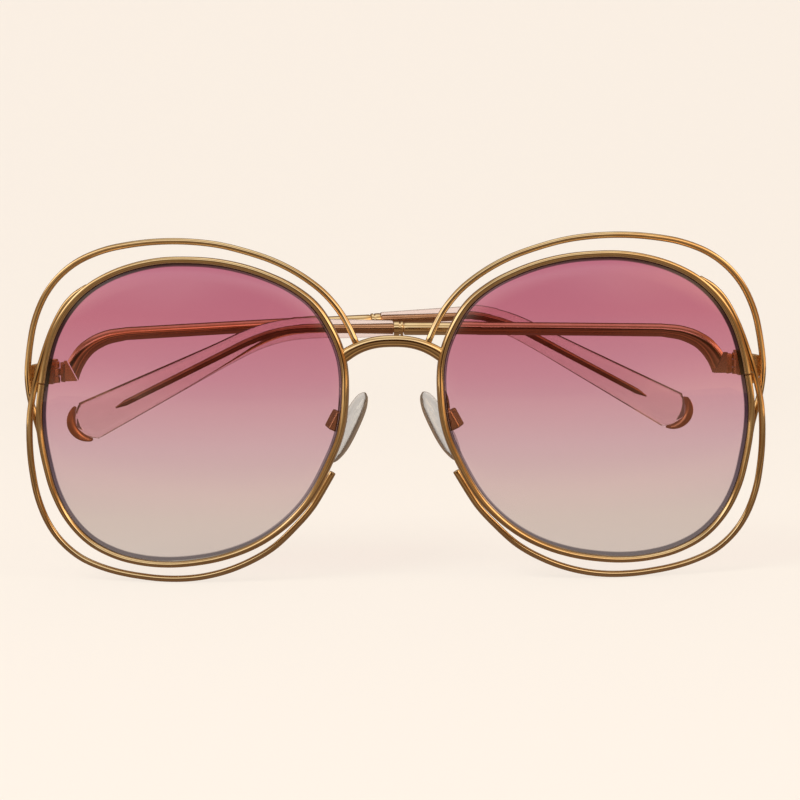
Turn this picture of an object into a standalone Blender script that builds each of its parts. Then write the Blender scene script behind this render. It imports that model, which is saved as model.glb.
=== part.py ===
"""Round sunglasses: gradient lenses in wire rims, a second pair of wires round
each rim, a bridge, hinged temples with clear tips, and clear nose pads.

Metres, +Z up, the front faces -Y and the wearer's left is +X. The origin is
where the nose carries the frame, midway between the nose pads. The temples are
modelled folded, as the glasses lie when they are put away.
"""

from math import atan2, cos, hypot, pi, radians, sin, sqrt, tan

import bmesh
import bpy
import numpy as np
from mathutils import Matrix, Vector

# Where the front sits from the nose rest
lens_height = 0.0045
rim_plane_y = -0.0065

# Lens outline and curve
rim_radius = 0.0309
lens_spacing = 0.0793
lens_base_radius = 0.110
lens_thickness = 0.0018
wrap_angle = radians(6.5)
outline_steps = 60

# Rim wire and the groove that holds the lens
rim_width = 0.0014
rim_depth = 0.0024
rim_edge_round = 0.0004
groove_depth = 0.00065
groove_half_width = 0.0005
bevel_height = 0.00055
bevel_half_width = 0.00035
seam_angle = 10.5
seam_gap = 0.0003

# Gaps: soldered or seated faces, and faces that turn on each other
seat_gap = 0.00012
running_gap = 0.0001
cut_overrun = 0.002

# Outer radius of the rim as shares of rim_radius, by the angle in degrees
# from the temple side, up over the brow and round under the cheek
rim_shares = (
    (0, 1.032), (10, 1.024), (20, 1.037), (30, 1.057), (40, 1.066), (50, 1.060),
    (60, 1.039), (70, 1.016), (80, 0.998), (90, 0.985), (100, 0.986), (120, 1.016),
    (130, 1.044), (140, 1.066), (150, 1.062), (160, 1.052), (175, 1.013), (190, 0.984),
    (200, 0.962), (220, 0.958), (240, 0.962), (260, 0.976), (270, 0.993),
    (280, 1.023), (290, 1.060), (300, 1.099), (310, 1.125), (320, 1.120),
    (330, 1.093), (340, 1.059),
)

# The two wires round each rim: centre line as shares of rim_radius
wire_radius = 0.0007
wire_step = 5
upper_wire_shares = (
    (-23, 1.061), (-15, 1.051), (-5, 1.057), (0, 1.084), (10, 1.136), (20, 1.173),
    (30, 1.218), (40, 1.243), (50, 1.231), (60, 1.187), (70, 1.136), (80, 1.100),
    (90, 1.079), (100, 1.072), (110, 1.074), (120, 1.092), (130, 1.114), (140, 1.136),
    (148, 1.142),
)
lower_wire_shares = (
    (-156, 0.976), (-150, 0.970), (-140, 0.978), (-130, 0.987), (-120, 1.011),
    (-110, 1.029), (-100, 1.051), (-90, 1.076), (-80, 1.103), (-70, 1.138),
    (-60, 1.189), (-50, 1.238), (-40, 1.244), (-30, 1.206), (-20, 1.152), (-10, 1.111),
    (0, 1.085), (10, 1.063), (20, 1.062), (30, 1.076), (40, 1.089), (49, 1.069),
)
# How far behind the rim's middle each wire runs, as shares of wire_seat_back
upper_back_shares = ((-23, 1.0), (0, 1.02), (15, 0.9), (45, 0.3), (120, 0.1), (148, 0.0))
lower_back_shares = (
    (-156, 1.0), (-142, 0.98), (-130, 0.78), (-115, 0.35), (-100, 0.15), (0, 0.15),
    (10, 0.4), (20, 0.82), (30, 0.97), (49, 1.0),
)
wire_end_taper_share = 0.6

# Bridge between the rims
bridge_angle = 160.5
bridge_rise = 0.0026
bridge_half_height = 0.00115
bridge_half_depth = 0.00095
bridge_forward_bow = 0.0006
bridge_arch_power = 2.4
bridge_end_power = 6
bridge_foot_flare_share = 1.15
wire_foot_share = 0.73
wire_foot_bow_share = 0.02
wire_foot_dip = radians(12)

# Blocks that close the rim at its seam, with a foot behind the rim, and their screw
lock_inset = 0.0005
lock_foot_width = 0.00045
lock_foot_depth = 0.0017
lock_width = 0.0024
lock_depth = 0.0037
lock_upper_height = 0.0035
lock_lower_height = 0.0018
lock_screw_radius = 0.00045
lock_screw_head_radius = 0.0007
lock_screw_head_height = 0.0004
head_edge_share = 0.8
head_side_share = 0.6

# Hinge: its axis inside the rim's side, behind the lock and above the rim's seam
hinge_inset = 0.00127
hinge_back = 0.00545
hinge_rise = 0.00143
knuckle_radius = 0.00105
middle_knuckle_height = 0.0015
outer_knuckle_height = 0.0013
hinge_screw_radius = 0.0005
hinge_screw_head_radius = 0.00085
hinge_screw_head_height = 0.0004
screw_slot_width = 0.0003
screw_slot_depth = 0.0002
front_leaf_share = 0.84
front_leaf_inset = 0.00045

# End piece that carries the hinge behind the wires
end_piece_half_height = 0.0027
end_piece_thickness = 0.0022
end_piece_flare = 0.0008
end_piece_drop = 0.0003
end_piece_tail = 0.0003
end_piece_edge_share = 0.8
end_piece_front_share = 0.95

# Temple hinge leaf and the goose neck up to the rod
leaf_length = 0.0018
leaf_gap = 0.0009
leaf_half_thickness = 0.0009
tongue_half_thickness = 0.0006
neck_reach = 0.0110
neck_rise = 0.00673
right_rod_lift = 0.0006
left_rod_slope = radians(1.0)
right_rod_slope = radians(1.6)
# Rows: reach share, rise share, then the lean, half height and half thickness
# of the section as shares of rod_radius
neck_shares = (
    (0.000, 0.020, 0.76, 1.54, 0.67),
    (0.073, 0.244, 0.63, 1.44, 0.72),
    (0.164, 0.444, 0.48, 1.41, 0.80),
    (0.323, 0.674, 0.22, 1.30, 0.90),
    (0.586, 0.881, 0.07, 1.15, 0.97),
    (1.000, 1.000, 0.00, 1.00, 1.00),
)

# Temple, as far as the other hinge less a gap: its rod, the core in its tip, the collar
folded_end_gap = 0.0041
temple_bow = 0.0095
bow_tail = 0.0145
rod_radius = 0.00135
rod_length = 0.0672
core_radius = 0.00085
core_end_radius = 0.0006
core_end_cover = 0.0109
core_point_length = 0.0020
collar_radius = 0.00153
collar_length = 0.00195
collar_edge_share = 0.93
collar_groove_length = 0.0003
collar_groove_depth = 0.0003
rod_sides = 10

# The bend of the tips towards the ears: its length, and the angle of each tip
drop_length = 0.0405
drop_blend = 0.0140
left_drop_angle = radians(26.3)
right_drop_angle = radians(30.8)

# Clear tip round the core, and the plain metal half moon at its end
tip_start_half_height = 0.0017
tip_middle_half_height = 0.0026
tip_end_half_height = 0.0041
tip_blade_length = 0.0295
tip_start_half_thickness = 0.0016
tip_end_half_thickness = 0.00175
tip_edge_share = 0.87
tip_square_share = 0.8
tip_sides = 14
plate_width = 0.0017
plate_horn_angle = radians(72)
# Rows of the half moon's section: share of its width, share of the tip's half thickness
plate_section_shares = (
    (0.00, -0.70), (0.25, -0.90), (0.75, -0.90), (1.00, -0.55),
    (1.00, 0.55), (0.75, 0.90), (0.25, 0.90), (0.00, 0.70),
)

# Angle of each folded temple from straight across the back
left_folded_angle = radians(-1.7)
right_folded_angle = radians(12.3)

# Nose pads, and the boxes, screws and arms that carry them
pad_half_gap = 0.0087
pad_tilt = radians(27.7)
pad_splay = radians(25)
pad_half_length = 0.0078
pad_half_width = 0.0037
pad_thickness = 0.0018
pivot_stand_off = 0.00175
pivot_rise = 0.0002
lug_radius = 0.0010
lug_half_thickness = 0.0006
pad_box_half_width = 0.00145
pad_box_half_height = 0.0019
pad_box_wall = 0.0004
pad_box_edge_round = 0.0003
pad_box_mouth = 0.0012
lug_end_gap = 0.00025
lug_side_gap = 0.0002
pad_screw_radius = 0.00035
pad_screw_head_radius = 0.0007
pad_screw_head_height = 0.00035
pad_arm_radius = 0.0005
pad_arm_angle = 175
pad_arm_rise = 0.0022
# Rows of the pad outline: share of its length from the top, share of its width
pad_outline_shares = (
    (0.00, 0.00), (0.02, 0.32), (0.08, 0.60), (0.20, 0.82), (0.38, 0.95), (0.58, 1.00),
    (0.76, 0.92), (0.90, 0.67), (0.975, 0.35), (1.00, 0.00),
)
# Rows of the pad's layers: share of its thickness, share of its outline
pad_layer_shares = ((0.0, 0.86), (0.25, 0.98), (0.5, 1.0), (0.8, 0.88), (1.0, 0.60))
# Rows along the pad arm: shares of the way in x, y and z, and of pad_arm_rise
pad_arm_shares = (
    (0.00, 0.00, 0.00, 0.00), (0.00, 0.10, 0.00, 0.04), (-0.03, 0.27, 0.04, 0.60),
    (0.15, 0.52, 0.20, 1.00), (0.50, 0.76, 0.42, 0.95), (0.85, 0.95, 0.68, 0.60),
    (1.00, 1.00, 0.88, 0.22), (1.00, 1.00, 1.00, 0.00),
)

# Sizes that follow from the ones above
wire_seat_back = rim_depth / 2 + wire_radius + seat_gap
front_leaf_length = hinge_back * front_leaf_share
barrel_half_height = middle_knuckle_height / 2 + running_gap + outer_knuckle_height
neck_start = knuckle_radius + leaf_gap + leaf_length
neck_end = neck_start + neck_reach
collar_start = rod_length + seat_gap
collar_end = collar_start + collar_length
tip_start = collar_end + seat_gap
pivot_depth = pad_thickness + pivot_stand_off
weld_distance = wire_radius / 100


def clear_scene():
    for thing in list(bpy.data.objects):
        bpy.data.objects.remove(thing, do_unlink=True)


def make_collection(name):
    group = bpy.data.collections.new(name)
    bpy.context.scene.collection.children.link(group)
    return group


def make_material(name, colour, roughness, metallic=0.0, transmission=0.0, alpha=1.0):
    finish = bpy.data.materials.new(name)
    finish.use_nodes = True
    shader = finish.node_tree.nodes["Principled BSDF"]
    shader.inputs["Base Color"].default_value = (*colour, 1.0)
    shader.inputs["Roughness"].default_value = roughness
    shader.inputs["Metallic"].default_value = metallic
    shader.inputs["Transmission Weight"].default_value = transmission
    shader.inputs["Alpha"].default_value = alpha
    finish.diffuse_color = (*colour, alpha)
    return finish


clear_scene()
parts = make_collection("round_sunglasses")
cutters = make_collection("cutters")
gold = {"colour": (0.80, 0.60, 0.33), "roughness": 0.15, "metallic": 1.0}
lens_tint = {"colour": (0.72, 0.40, 0.46), "roughness": 0.1, "transmission": 0.8, "alpha": 0.6}
clear_plastic = {"colour": (0.90, 0.82, 0.80), "roughness": 0.1, "transmission": 0.8, "alpha": 0.6}


def side_name(side, piece):
    return ("left_" if side > 0 else "right_") + piece


def finish_mesh(mesh, sharp_angle=radians(40)):
    mesh.shade_smooth()
    mesh.set_sharp_from_angle(angle=sharp_angle)


def add_part(name, mesh, look, carrier=None):
    piece = bpy.data.objects.new(name, mesh)
    mesh.materials.clear()
    mesh.materials.append(make_material(name, **look))
    finish_mesh(mesh)
    piece.parent = carrier
    parts.objects.link(piece)
    return piece


def add_cutter(name, mesh, carrier=None):
    piece = bpy.data.objects.new(name, mesh)
    piece.parent = carrier
    piece.hide_render = True
    piece.display_type = "WIRE"
    cutters.objects.link(piece)
    return piece


def combine(piece, tool, operation):
    step = piece.modifiers.new(tool.name, "BOOLEAN")
    step.operation = operation
    step.solver = "EXACT"
    step.object = tool


def add_axis(name, place, turn):
    """An empty on a joint's axis, turned to the piece's place at rest."""
    axis = bpy.data.objects.new(name, None)
    axis.location = place
    axis.rotation_euler = turn
    parts.objects.link(axis)
    return axis


def mesh_from(name, shape):
    bmesh.ops.recalc_face_normals(shape, faces=shape.faces)
    mesh = bpy.data.meshes.new(name)
    shape.to_mesh(mesh)
    shape.free()
    return mesh


def loft(name, rings, first_pole=None, last_pole=None):
    """A closed skin through rings of equally many points, capped or drawn to poles."""
    shape = bmesh.new()
    loops = [[shape.verts.new(point) for point in ring] for ring in rings]
    count = len(loops[0])
    for near, far in zip(loops, loops[1:]):
        for i in range(count):
            j = (i + 1) % count
            shape.faces.new((near[i], near[j], far[j], far[i]))
    for loop, pole in ((loops[0], first_pole), (loops[-1], last_pole)):
        if pole is None:
            shape.faces.new(loop)
        else:
            tip = shape.verts.new(pole)
            for i in range(count):
                shape.faces.new((loop[i], loop[(i + 1) % count], tip))
    return mesh_from(name, shape)


def box_mesh(name, low, high, place=Matrix.Identity(4)):
    """A box between two corners, moved by a matrix."""
    shape = bmesh.new()
    bmesh.ops.create_cube(shape, size=1)
    low = Vector(low)
    high = Vector(high)
    bmesh.ops.scale(shape, vec=high - low, verts=shape.verts)
    bmesh.ops.translate(shape, vec=(low + high) / 2, verts=shape.verts)
    bmesh.ops.transform(shape, matrix=place, verts=shape.verts)
    return mesh_from(name, shape)


def cylinder_mesh(name, radius, bottom, top, sides=24, place=Matrix.Identity(4)):
    """A cylinder along Z between two heights, moved by a matrix."""
    shape = bmesh.new()
    bmesh.ops.create_cone(
        shape, cap_ends=True, segments=sides, radius1=radius, radius2=radius, depth=top - bottom
    )
    bmesh.ops.translate(shape, vec=(0, 0, (top + bottom) / 2), verts=shape.verts)
    bmesh.ops.transform(shape, matrix=place, verts=shape.verts)
    return mesh_from(name, shape)


def turned_mesh(name, profile, sides=20, place=Matrix.Identity(4)):
    """A closed turned shape: profile rows of radius and height, bottom to top."""
    rings = []
    for radius, height in profile:
        turns = [2 * pi * i / sides for i in range(sides)]
        rings.append([place @ Vector((radius * cos(t), radius * sin(t), height)) for t in turns])
    return loft(name, rings)


def wire_mesh(name, points, radius, tapers=None):
    """A round wire through points, as a mesh with welded caps."""
    line = bpy.data.curves.new(name, "CURVE")
    line.dimensions = "3D"
    line.bevel_depth = radius
    line.bevel_resolution = 2
    line.use_fill_caps = True
    spline = line.splines.new("POLY")
    spline.points.add(len(points) - 1)
    for i, point in enumerate(points):
        spline.points[i].co = (*point, 1.0)
        spline.points[i].radius = 1.0 if tapers is None else tapers[i]
    guide = bpy.data.objects.new(name, line)
    cutters.objects.link(guide)
    bpy.context.view_layer.update()
    ready = guide.evaluated_get(bpy.context.evaluated_depsgraph_get())
    mesh = bpy.data.meshes.new_from_object(ready)
    bpy.data.objects.remove(guide, do_unlink=True)
    shape = bmesh.new()
    shape.from_mesh(mesh)
    bmesh.ops.remove_doubles(shape, verts=shape.verts, dist=weld_distance)
    bpy.data.meshes.remove(mesh)
    return mesh_from(name, shape)


def smooth_value(rows, place):
    """A value between rows of (place, value), on a smooth cubic through them."""
    places, values = np.array(rows, dtype=float).T
    slopes = np.gradient(values, places)
    i = int(np.clip(np.searchsorted(places, place) - 1, 0, len(places) - 2))
    width = places[i + 1] - places[i]
    t = (place - places[i]) / width
    return float(
        (2 * t**3 - 3 * t**2 + 1) * values[i]
        + (t**3 - 2 * t**2 + t) * width * slopes[i]
        + (3 * t**2 - 2 * t**3) * values[i + 1]
        + (t**3 - t**2) * width * slopes[i + 1]
    )


def rim_outer(angle):
    """Outer radius of the rim at an angle in degrees."""
    rows = [(a + turn, share) for turn in (-360, 0, 360) for a, share in rim_shares]
    return rim_radius * smooth_value(rows, angle % 360)


def lens_sag(radius):
    """How far the lens curve lies behind the plane of the rim at a radius."""
    at_rim = lens_base_radius - sqrt(lens_base_radius**2 - rim_radius**2)
    return lens_base_radius - sqrt(lens_base_radius**2 - radius**2) - at_rim


def eye_point(side, across, back, up):
    """World place of a point given from a lens centre, across towards the temple."""
    x = lens_spacing / 2 + across * cos(wrap_angle) - back * sin(wrap_angle)
    y = rim_plane_y + across * sin(wrap_angle) + back * cos(wrap_angle)
    return Vector((side * x, y, lens_height + up))


def polar_point(side, angle, radius, back=0.0):
    """World place at an angle and a radius round a lens, on the curve of the lens."""
    turn = radians(angle)
    return eye_point(side, radius * cos(turn), lens_sag(radius) + back, radius * sin(turn))


def make_rim(side):
    half_depth = rim_depth / 2
    section = (
        (-rim_edge_round, -half_depth),
        (0, -half_depth + rim_edge_round),
        (0, half_depth - rim_edge_round),
        (-rim_edge_round, half_depth),
        (-rim_width, half_depth),
        (-rim_width, groove_half_width),
        (-rim_width + groove_depth, 0),
        (-rim_width, -groove_half_width),
        (-rim_width, -half_depth),
    )
    half_seam = seam_gap / (2 * rim_radius) * 180 / pi
    step = 360 / outline_steps
    angles = [seam_angle + step * i for i in range(outline_steps + 1)]
    angles[0] += half_seam
    angles[-1] -= half_seam
    rings = []
    for angle in angles:
        middle = lens_sag(rim_outer(angle) - rim_width / 2)
        ring = []
        for inward, back in section:
            radius = rim_outer(angle) + inward
            turn = radians(angle)
            ring.append(eye_point(side, radius * cos(turn), middle + back, radius * sin(turn)))
        rings.append(ring)
    add_part(side_name(side, "rim"), loft("rim", rings), gold)


def make_lens(side):
    half = lens_thickness / 2
    edge = -rim_width - seat_gap
    rows = (
        (0.35, 0, -half), (0.7, 0, -half), (1, edge, -half), (1, edge, -bevel_half_width),
        (1, edge + bevel_height, 0), (1, edge, bevel_half_width), (1, edge, half),
        (0.7, 0, half), (0.35, 0, half),
    )
    rings = []
    for share, inward, back in rows:
        ring = []
        for i in range(outline_steps):
            angle = seam_angle + 360 * i / outline_steps
            radius = share * rim_outer(angle) + inward
            sag = lens_sag(radius if share < 1 else rim_outer(angle) - rim_width / 2)
            turn = radians(angle)
            ring.append(eye_point(side, radius * cos(turn), sag + back, radius * sin(turn)))
        rings.append(ring)
    front = eye_point(side, 0, lens_sag(0) - half, 0)
    rear = eye_point(side, 0, lens_sag(0) + half, 0)
    add_part(side_name(side, "lens"), loft("lens", rings, front, rear), lens_tint)


def bridge_foot():
    """Where the bridge meets the left rim, just clear of it, and the rim's direction."""
    outer = rim_outer(bridge_angle) + seat_gap
    foot = polar_point(1, bridge_angle, outer)
    ahead = polar_point(1, bridge_angle - 2, rim_outer(bridge_angle - 2) + seat_gap)
    along = (ahead - foot).normalized()
    return foot, along


def bridge_centre(share):
    """Centre of the bridge at a share of its half span, -1 to 1."""
    foot = bridge_foot()[0]
    arch = 1 - abs(share) ** bridge_arch_power
    y = foot.y - bridge_forward_bow * (1 - share**2)
    return Vector((share * foot.x, y, foot.z + bridge_rise * arch))


def bridge_lean(share):
    """Slope angle of the bridge's centre line at a share of its half span."""
    foot = bridge_foot()[0]
    here = abs(share) ** (bridge_arch_power - 1)
    slope = bridge_rise * bridge_arch_power * here / foot.x
    return -atan2(slope, 1) if share > 0 else atan2(slope, 1)


def make_bridge():
    along = bridge_foot()[1]
    upright = atan2(along.z, along.x)
    end_lean = upright - pi / 2
    steps = 20
    rings = []
    for i in range(steps + 1):
        share = 2 * i / steps - 1
        centre = bridge_centre(share)
        ends = abs(share) ** bridge_end_power
        lean = bridge_lean(share) * (1 - ends)
        lean += (end_lean if share > 0 else -end_lean) * ends
        up = Vector((-sin(lean), 0, cos(lean)))
        flare = 1 + (bridge_foot_flare_share - 1) * ends
        ring = []
        for back_share, up_share in (
            (0, 1), (0.75, 0.6), (1, 0), (0.75, -0.7), (0, -1), (-0.75, -0.7), (-1, 0), (-0.7, 0.65)
        ):
            back = Vector((0, back_share * bridge_half_depth, 0))
            ring.append(centre + back + up * up_share * bridge_half_height * flare)
        rings.append(ring)
    add_part("bridge", loft("bridge", rings), gold)


def wire_points(side, radius_shares, back_shares):
    first = radius_shares[0][0]
    last = radius_shares[-1][0]
    steps = round((last - first) / wire_step)
    points = []
    for i in range(steps + 1):
        angle = first + (last - first) * i / steps
        radius = rim_radius * smooth_value(radius_shares, angle)
        back = wire_seat_back * smooth_value(back_shares, angle)
        points.append(polar_point(side, angle, radius, back))
    return points


def make_upper_wire(side):
    """From the top of the bridge, over the brow and down behind the lower wire."""
    points = wire_points(side, upper_wire_shares, upper_back_shares)
    lean = bridge_lean(wire_foot_share)
    normal = Vector((-sin(lean) * side, 0, cos(lean)))
    foot = bridge_centre(wire_foot_share)
    foot.x *= side
    lift = bridge_half_height + 2 * seat_gap + wire_radius * sin(wire_foot_dip)
    start = foot + normal * lift
    last = points[-1]
    bow = (last - start).cross(Vector((0, side, 0))) * wire_foot_bow_share
    points.append(start.lerp(last, 0.5) + bow)
    points.append(start)
    tapers = [1.0] * len(points)
    tapers[0] = wire_end_taper_share
    tapers[1] = (1 + wire_end_taper_share) / 2
    mesh = wire_mesh("upper_wire", points, wire_radius, tapers)
    add_part(side_name(side, "upper_wire"), mesh, gold)


def make_lower_wire(side):
    """From the side of the rim, in front of the upper wire and round under the cheek."""
    points = wire_points(side, lower_wire_shares, lower_back_shares)
    tapers = [1.0] * len(points)
    tapers[-1] = wire_end_taper_share
    mesh = wire_mesh("lower_wire", points, wire_radius, tapers)
    add_part(side_name(side, "lower_wire"), mesh, gold)


def lock_frame(side):
    """Matrix from lock coordinates, across from the rim's outer edge, back from the
    rim's back and up along the rim from its seam, to the world."""
    outer = rim_outer(seam_angle)
    back = lens_sag(outer - rim_width / 2) + rim_depth / 2 + seat_gap
    turn = radians(seam_angle)
    place = eye_point(side, outer * cos(turn), back, outer * sin(turn))
    wrap = Matrix.Rotation(wrap_angle, 4, "Z")
    along_rim = Matrix.Rotation(-turn, 4, "Y")
    return Matrix.Translation(place) @ Matrix.Diagonal((side, 1, 1, 1)) @ wrap @ along_rim


# Places that follow from the shape of the rim at its seam
seam_place = polar_point(1, seam_angle, rim_outer(seam_angle))
rim_side = eye_point(1, rim_outer(seam_angle) * cos(radians(seam_angle)), 0, 0).x
lock_inner = lock_frame(1) @ Vector((lock_foot_width - lock_inset, lock_depth + seat_gap, 0))
lock_outer = lock_frame(1) @ Vector((lock_width - lock_inset, lock_depth + seat_gap, 0))
hinge_x = rim_side - hinge_inset
hinge_y = lock_outer.y + hinge_back
hinge_z = seam_place.z + hinge_rise
temple_length = 2 * hinge_x - folded_end_gap
bow_length = temple_length - bow_tail
drop_start = temple_length - drop_length
core_length = temple_length - core_end_cover
tip_middle = temple_length - tip_blade_length


def make_lock(side):
    """The two blocks behind the rim's seam and the screw that draws them together."""
    frame = lock_frame(side)
    foot = lock_foot_width - lock_inset
    outside = lock_width - lock_inset
    section = (
        (-lock_inset, 0), (foot, 0), (foot, lock_foot_depth), (outside, lock_foot_depth),
        (outside, lock_depth), (-lock_inset, lock_depth),
    )
    lift = seam_gap / 2
    top = lift + lock_upper_height
    bottom = -lift - lock_lower_height
    back = (lock_foot_depth + lock_depth) / 2
    middle = frame @ Matrix.Translation(((foot + outside) / 2, back, 0))
    hole_radius = lock_screw_radius + running_gap
    hole = add_cutter(
        side_name(side, "lock_hole"),
        cylinder_mesh("hole", hole_radius, bottom - cut_overrun, top + cut_overrun, 16, middle),
    )
    for name, ends in (("rim_lock_upper", (lift, top)), ("rim_lock_lower", (bottom, -lift))):
        rings = [[frame @ Vector((across, back, z)) for across, back in section] for z in ends]
        block = add_part(side_name(side, name), loft(name, rings), gold)
        combine(block, hole, "DIFFERENCE")
    seat = bottom - seat_gap
    profile = (
        (lock_screw_head_radius * head_edge_share, seat - lock_screw_head_height),
        (lock_screw_head_radius, seat - lock_screw_head_height * head_side_share),
        (lock_screw_head_radius, seat),
        (lock_screw_radius, seat),
        (lock_screw_radius, top),
    )
    screw = add_part(
        side_name(side, "rim_lock_screw"), turned_mesh("lock_screw", profile, 16, middle), gold
    )
    slot_low = (-cut_overrun, -screw_slot_width / 2, seat - lock_screw_head_height - cut_overrun)
    slot_high = (cut_overrun, screw_slot_width / 2, seat - lock_screw_head_height + screw_slot_depth)
    slot = add_cutter(side_name(side, "lock_slot"), box_mesh("slot", slot_low, slot_high, middle))
    combine(screw, slot, "DIFFERENCE")


def make_end_piece(side):
    """The arm that runs back from the lock, behind the wires, to the hinge."""
    hinge_side = hinge_x + knuckle_radius + seat_gap
    outer = hinge_side + end_piece_thickness
    middle_z = hinge_z - end_piece_drop
    stations = (
        (lock_outer.y + seat_gap, lock_inner.x, outer + end_piece_flare, end_piece_front_share),
        (hinge_y - front_leaf_length - seat_gap, hinge_side, outer + end_piece_flare, 1.0),
        (hinge_y, hinge_side, outer, 1.0),
        (hinge_y + end_piece_tail, hinge_side, outer, end_piece_edge_share),
    )
    rings = []
    for y, inner, outside, height_share in stations:
        half = end_piece_half_height * height_share
        ring = [
            (side * inner, y, middle_z - half),
            (side * outside, y, middle_z - half * end_piece_edge_share),
            (side * outside, y, middle_z + half * end_piece_edge_share),
            (side * inner, y, middle_z + half),
        ]
        rings.append(ring)
    add_part(side_name(side, "end_piece"), loft("end_piece", rings), gold)


def make_front_leaf(side):
    """The fixed hinge leaf: a plate with the top and bottom knuckles."""
    axis = Matrix.Translation((side * hinge_x, hinge_y, hinge_z))
    axis = axis @ Matrix.Diagonal((side, 1, 1, 1))
    half = barrel_half_height
    plate = box_mesh(
        "leaf_plate", (-front_leaf_inset, -front_leaf_length, -half), (knuckle_radius, 0, half), axis
    )
    leaf = add_part(side_name(side, "hinge_front_leaf"), plate, gold)
    barrel = add_cutter(
        side_name(side, "front_barrel"), cylinder_mesh("barrel", knuckle_radius, -half, half, 24, axis)
    )
    combine(leaf, barrel, "UNION")
    slot_half = middle_knuckle_height / 2 + running_gap
    slot_radius = knuckle_radius + running_gap
    slot = cylinder_mesh("knuckle_slot", slot_radius, -slot_half, slot_half, 24, axis)
    combine(leaf, add_cutter(side_name(side, "knuckle_slot"), slot), "DIFFERENCE")
    hole_radius = hinge_screw_radius + running_gap
    hole = cylinder_mesh("hole", hole_radius, -half - cut_overrun, half + cut_overrun, 20, axis)
    combine(leaf, add_cutter(side_name(side, "front_leaf_hole"), hole), "DIFFERENCE")

    seat = half + seat_gap
    profile = (
        (hinge_screw_radius, -half),
        (hinge_screw_radius, seat),
        (hinge_screw_head_radius, seat),
        (hinge_screw_head_radius, seat + hinge_screw_head_height * head_side_share),
        (hinge_screw_head_radius * head_edge_share, seat + hinge_screw_head_height),
    )
    screw = add_part(
        side_name(side, "hinge_screw"), turned_mesh("hinge_screw", profile, 20, axis), gold
    )
    head_top = seat + hinge_screw_head_height
    slot_low = (-cut_overrun, -screw_slot_width / 2, head_top - screw_slot_depth)
    slot_high = (cut_overrun, screw_slot_width / 2, head_top + cut_overrun)
    cut = add_cutter(side_name(side, "screw_slot"), box_mesh("slot", slot_low, slot_high, axis))
    combine(screw, cut, "DIFFERENCE")


def bow_offset(run):
    """How far the temple bows outwards at a distance from the hinge."""
    if run < bow_length:
        return temple_bow * sin(pi * run / bow_length)
    return -temple_bow * pi / bow_length * (run - bow_length)


def rod_height(side):
    return neck_rise + (right_rod_lift if side < 0 else 0)


def rod_slope(side):
    return tan(left_rod_slope if side > 0 else right_rod_slope)


def drop_slope(side):
    return tan(left_drop_angle if side > 0 else right_drop_angle)


def line_height(side, run):
    """Height of the temple's centre line above the hinge at a distance from it."""
    height = rod_height(side) + rod_slope(side) * max(run - neck_end, 0)
    past = run - (drop_start - drop_blend / 2)
    if past < 0:
        return height
    if past < drop_blend:
        return height - drop_slope(side) * past**2 / (2 * drop_blend)
    return height - drop_slope(side) * (past - drop_blend / 2)


def line_lean(side, run):
    """Angle below level of the temple's centre line at a distance from the hinge."""
    past = run - (drop_start - drop_blend / 2)
    share = min(max(past / drop_blend, 0), 1)
    return atan2(drop_slope(side) * share - rod_slope(side), 1)


def tip_centre(side):
    """Distance from the hinge of the centre of the tip's round end."""
    return temple_length - tip_end_half_height * cos(line_lean(side, temple_length))


def temple_point(side, run, out, up):
    """Temple coordinates: out from the bowed line, along from the hinge, and up."""
    return Vector((side * (bow_offset(run) + out), run, up))


def oval_ring(side, run, height, lean, half_height, half_thickness, sides, square=1.0):
    """A section of the temple across its line, which leans back by an angle."""
    ring = []
    for i in range(sides):
        turn = 2 * pi * (i + 0.5) / sides
        out = abs(cos(turn)) ** square * (1 if cos(turn) > 0 else -1) * half_thickness
        up = abs(sin(turn)) ** square * (1 if sin(turn) > 0 else -1) * half_height
        ring.append(temple_point(side, run + up * sin(lean), out, height + up * cos(lean)))
    return ring


def round_ring(side, run, radius, sides):
    """A round section of the temple, square to its line."""
    height = line_height(side, run)
    return oval_ring(side, run, height, line_lean(side, run), radius, radius, sides)


def neck_section(row, side):
    """Run, height, lean angle, half height and half thickness of a neck row."""
    reach, rise, lean, tall, thick = row
    run = neck_start + reach * neck_reach
    half_height = rod_radius * hypot(lean, tall)
    return run, rise * rod_height(side), -atan2(lean, tall), half_height, rod_radius * thick


def make_temple_rod(side, carrier):
    """The goose neck, the straight rod and the thinner core that runs on into the tip."""
    rings = []
    for row in neck_shares:
        run, height, lean, tall, thick = neck_section(row, side)
        rings.append(oval_ring(side, run, height, lean, tall, thick, rod_sides))
    rod_steps = 9
    for i in range(1, rod_steps + 1):
        run = neck_end + (rod_length - neck_end) * i / rod_steps
        rings.append(round_ring(side, run, rod_radius, rod_sides))
    for run, radius in core_stations():
        rings.append(round_ring(side, run, radius, rod_sides))
    mesh = loft("temple_rod", rings)
    add_part(side_name(side, "temple_rod"), mesh, gold, carrier)


def core_stations():
    """Distance from the hinge and radius along the core, to its point."""
    rows = [(rod_length, core_radius)]
    steps = 14
    for i in range(1, steps + 1):
        share = i / steps
        run = rod_length + (core_length - rod_length) * share
        rows.append((run, core_radius + (core_end_radius - core_radius) * share))
    rows.append((core_length + core_point_length, core_end_radius / 4))
    return rows


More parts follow.
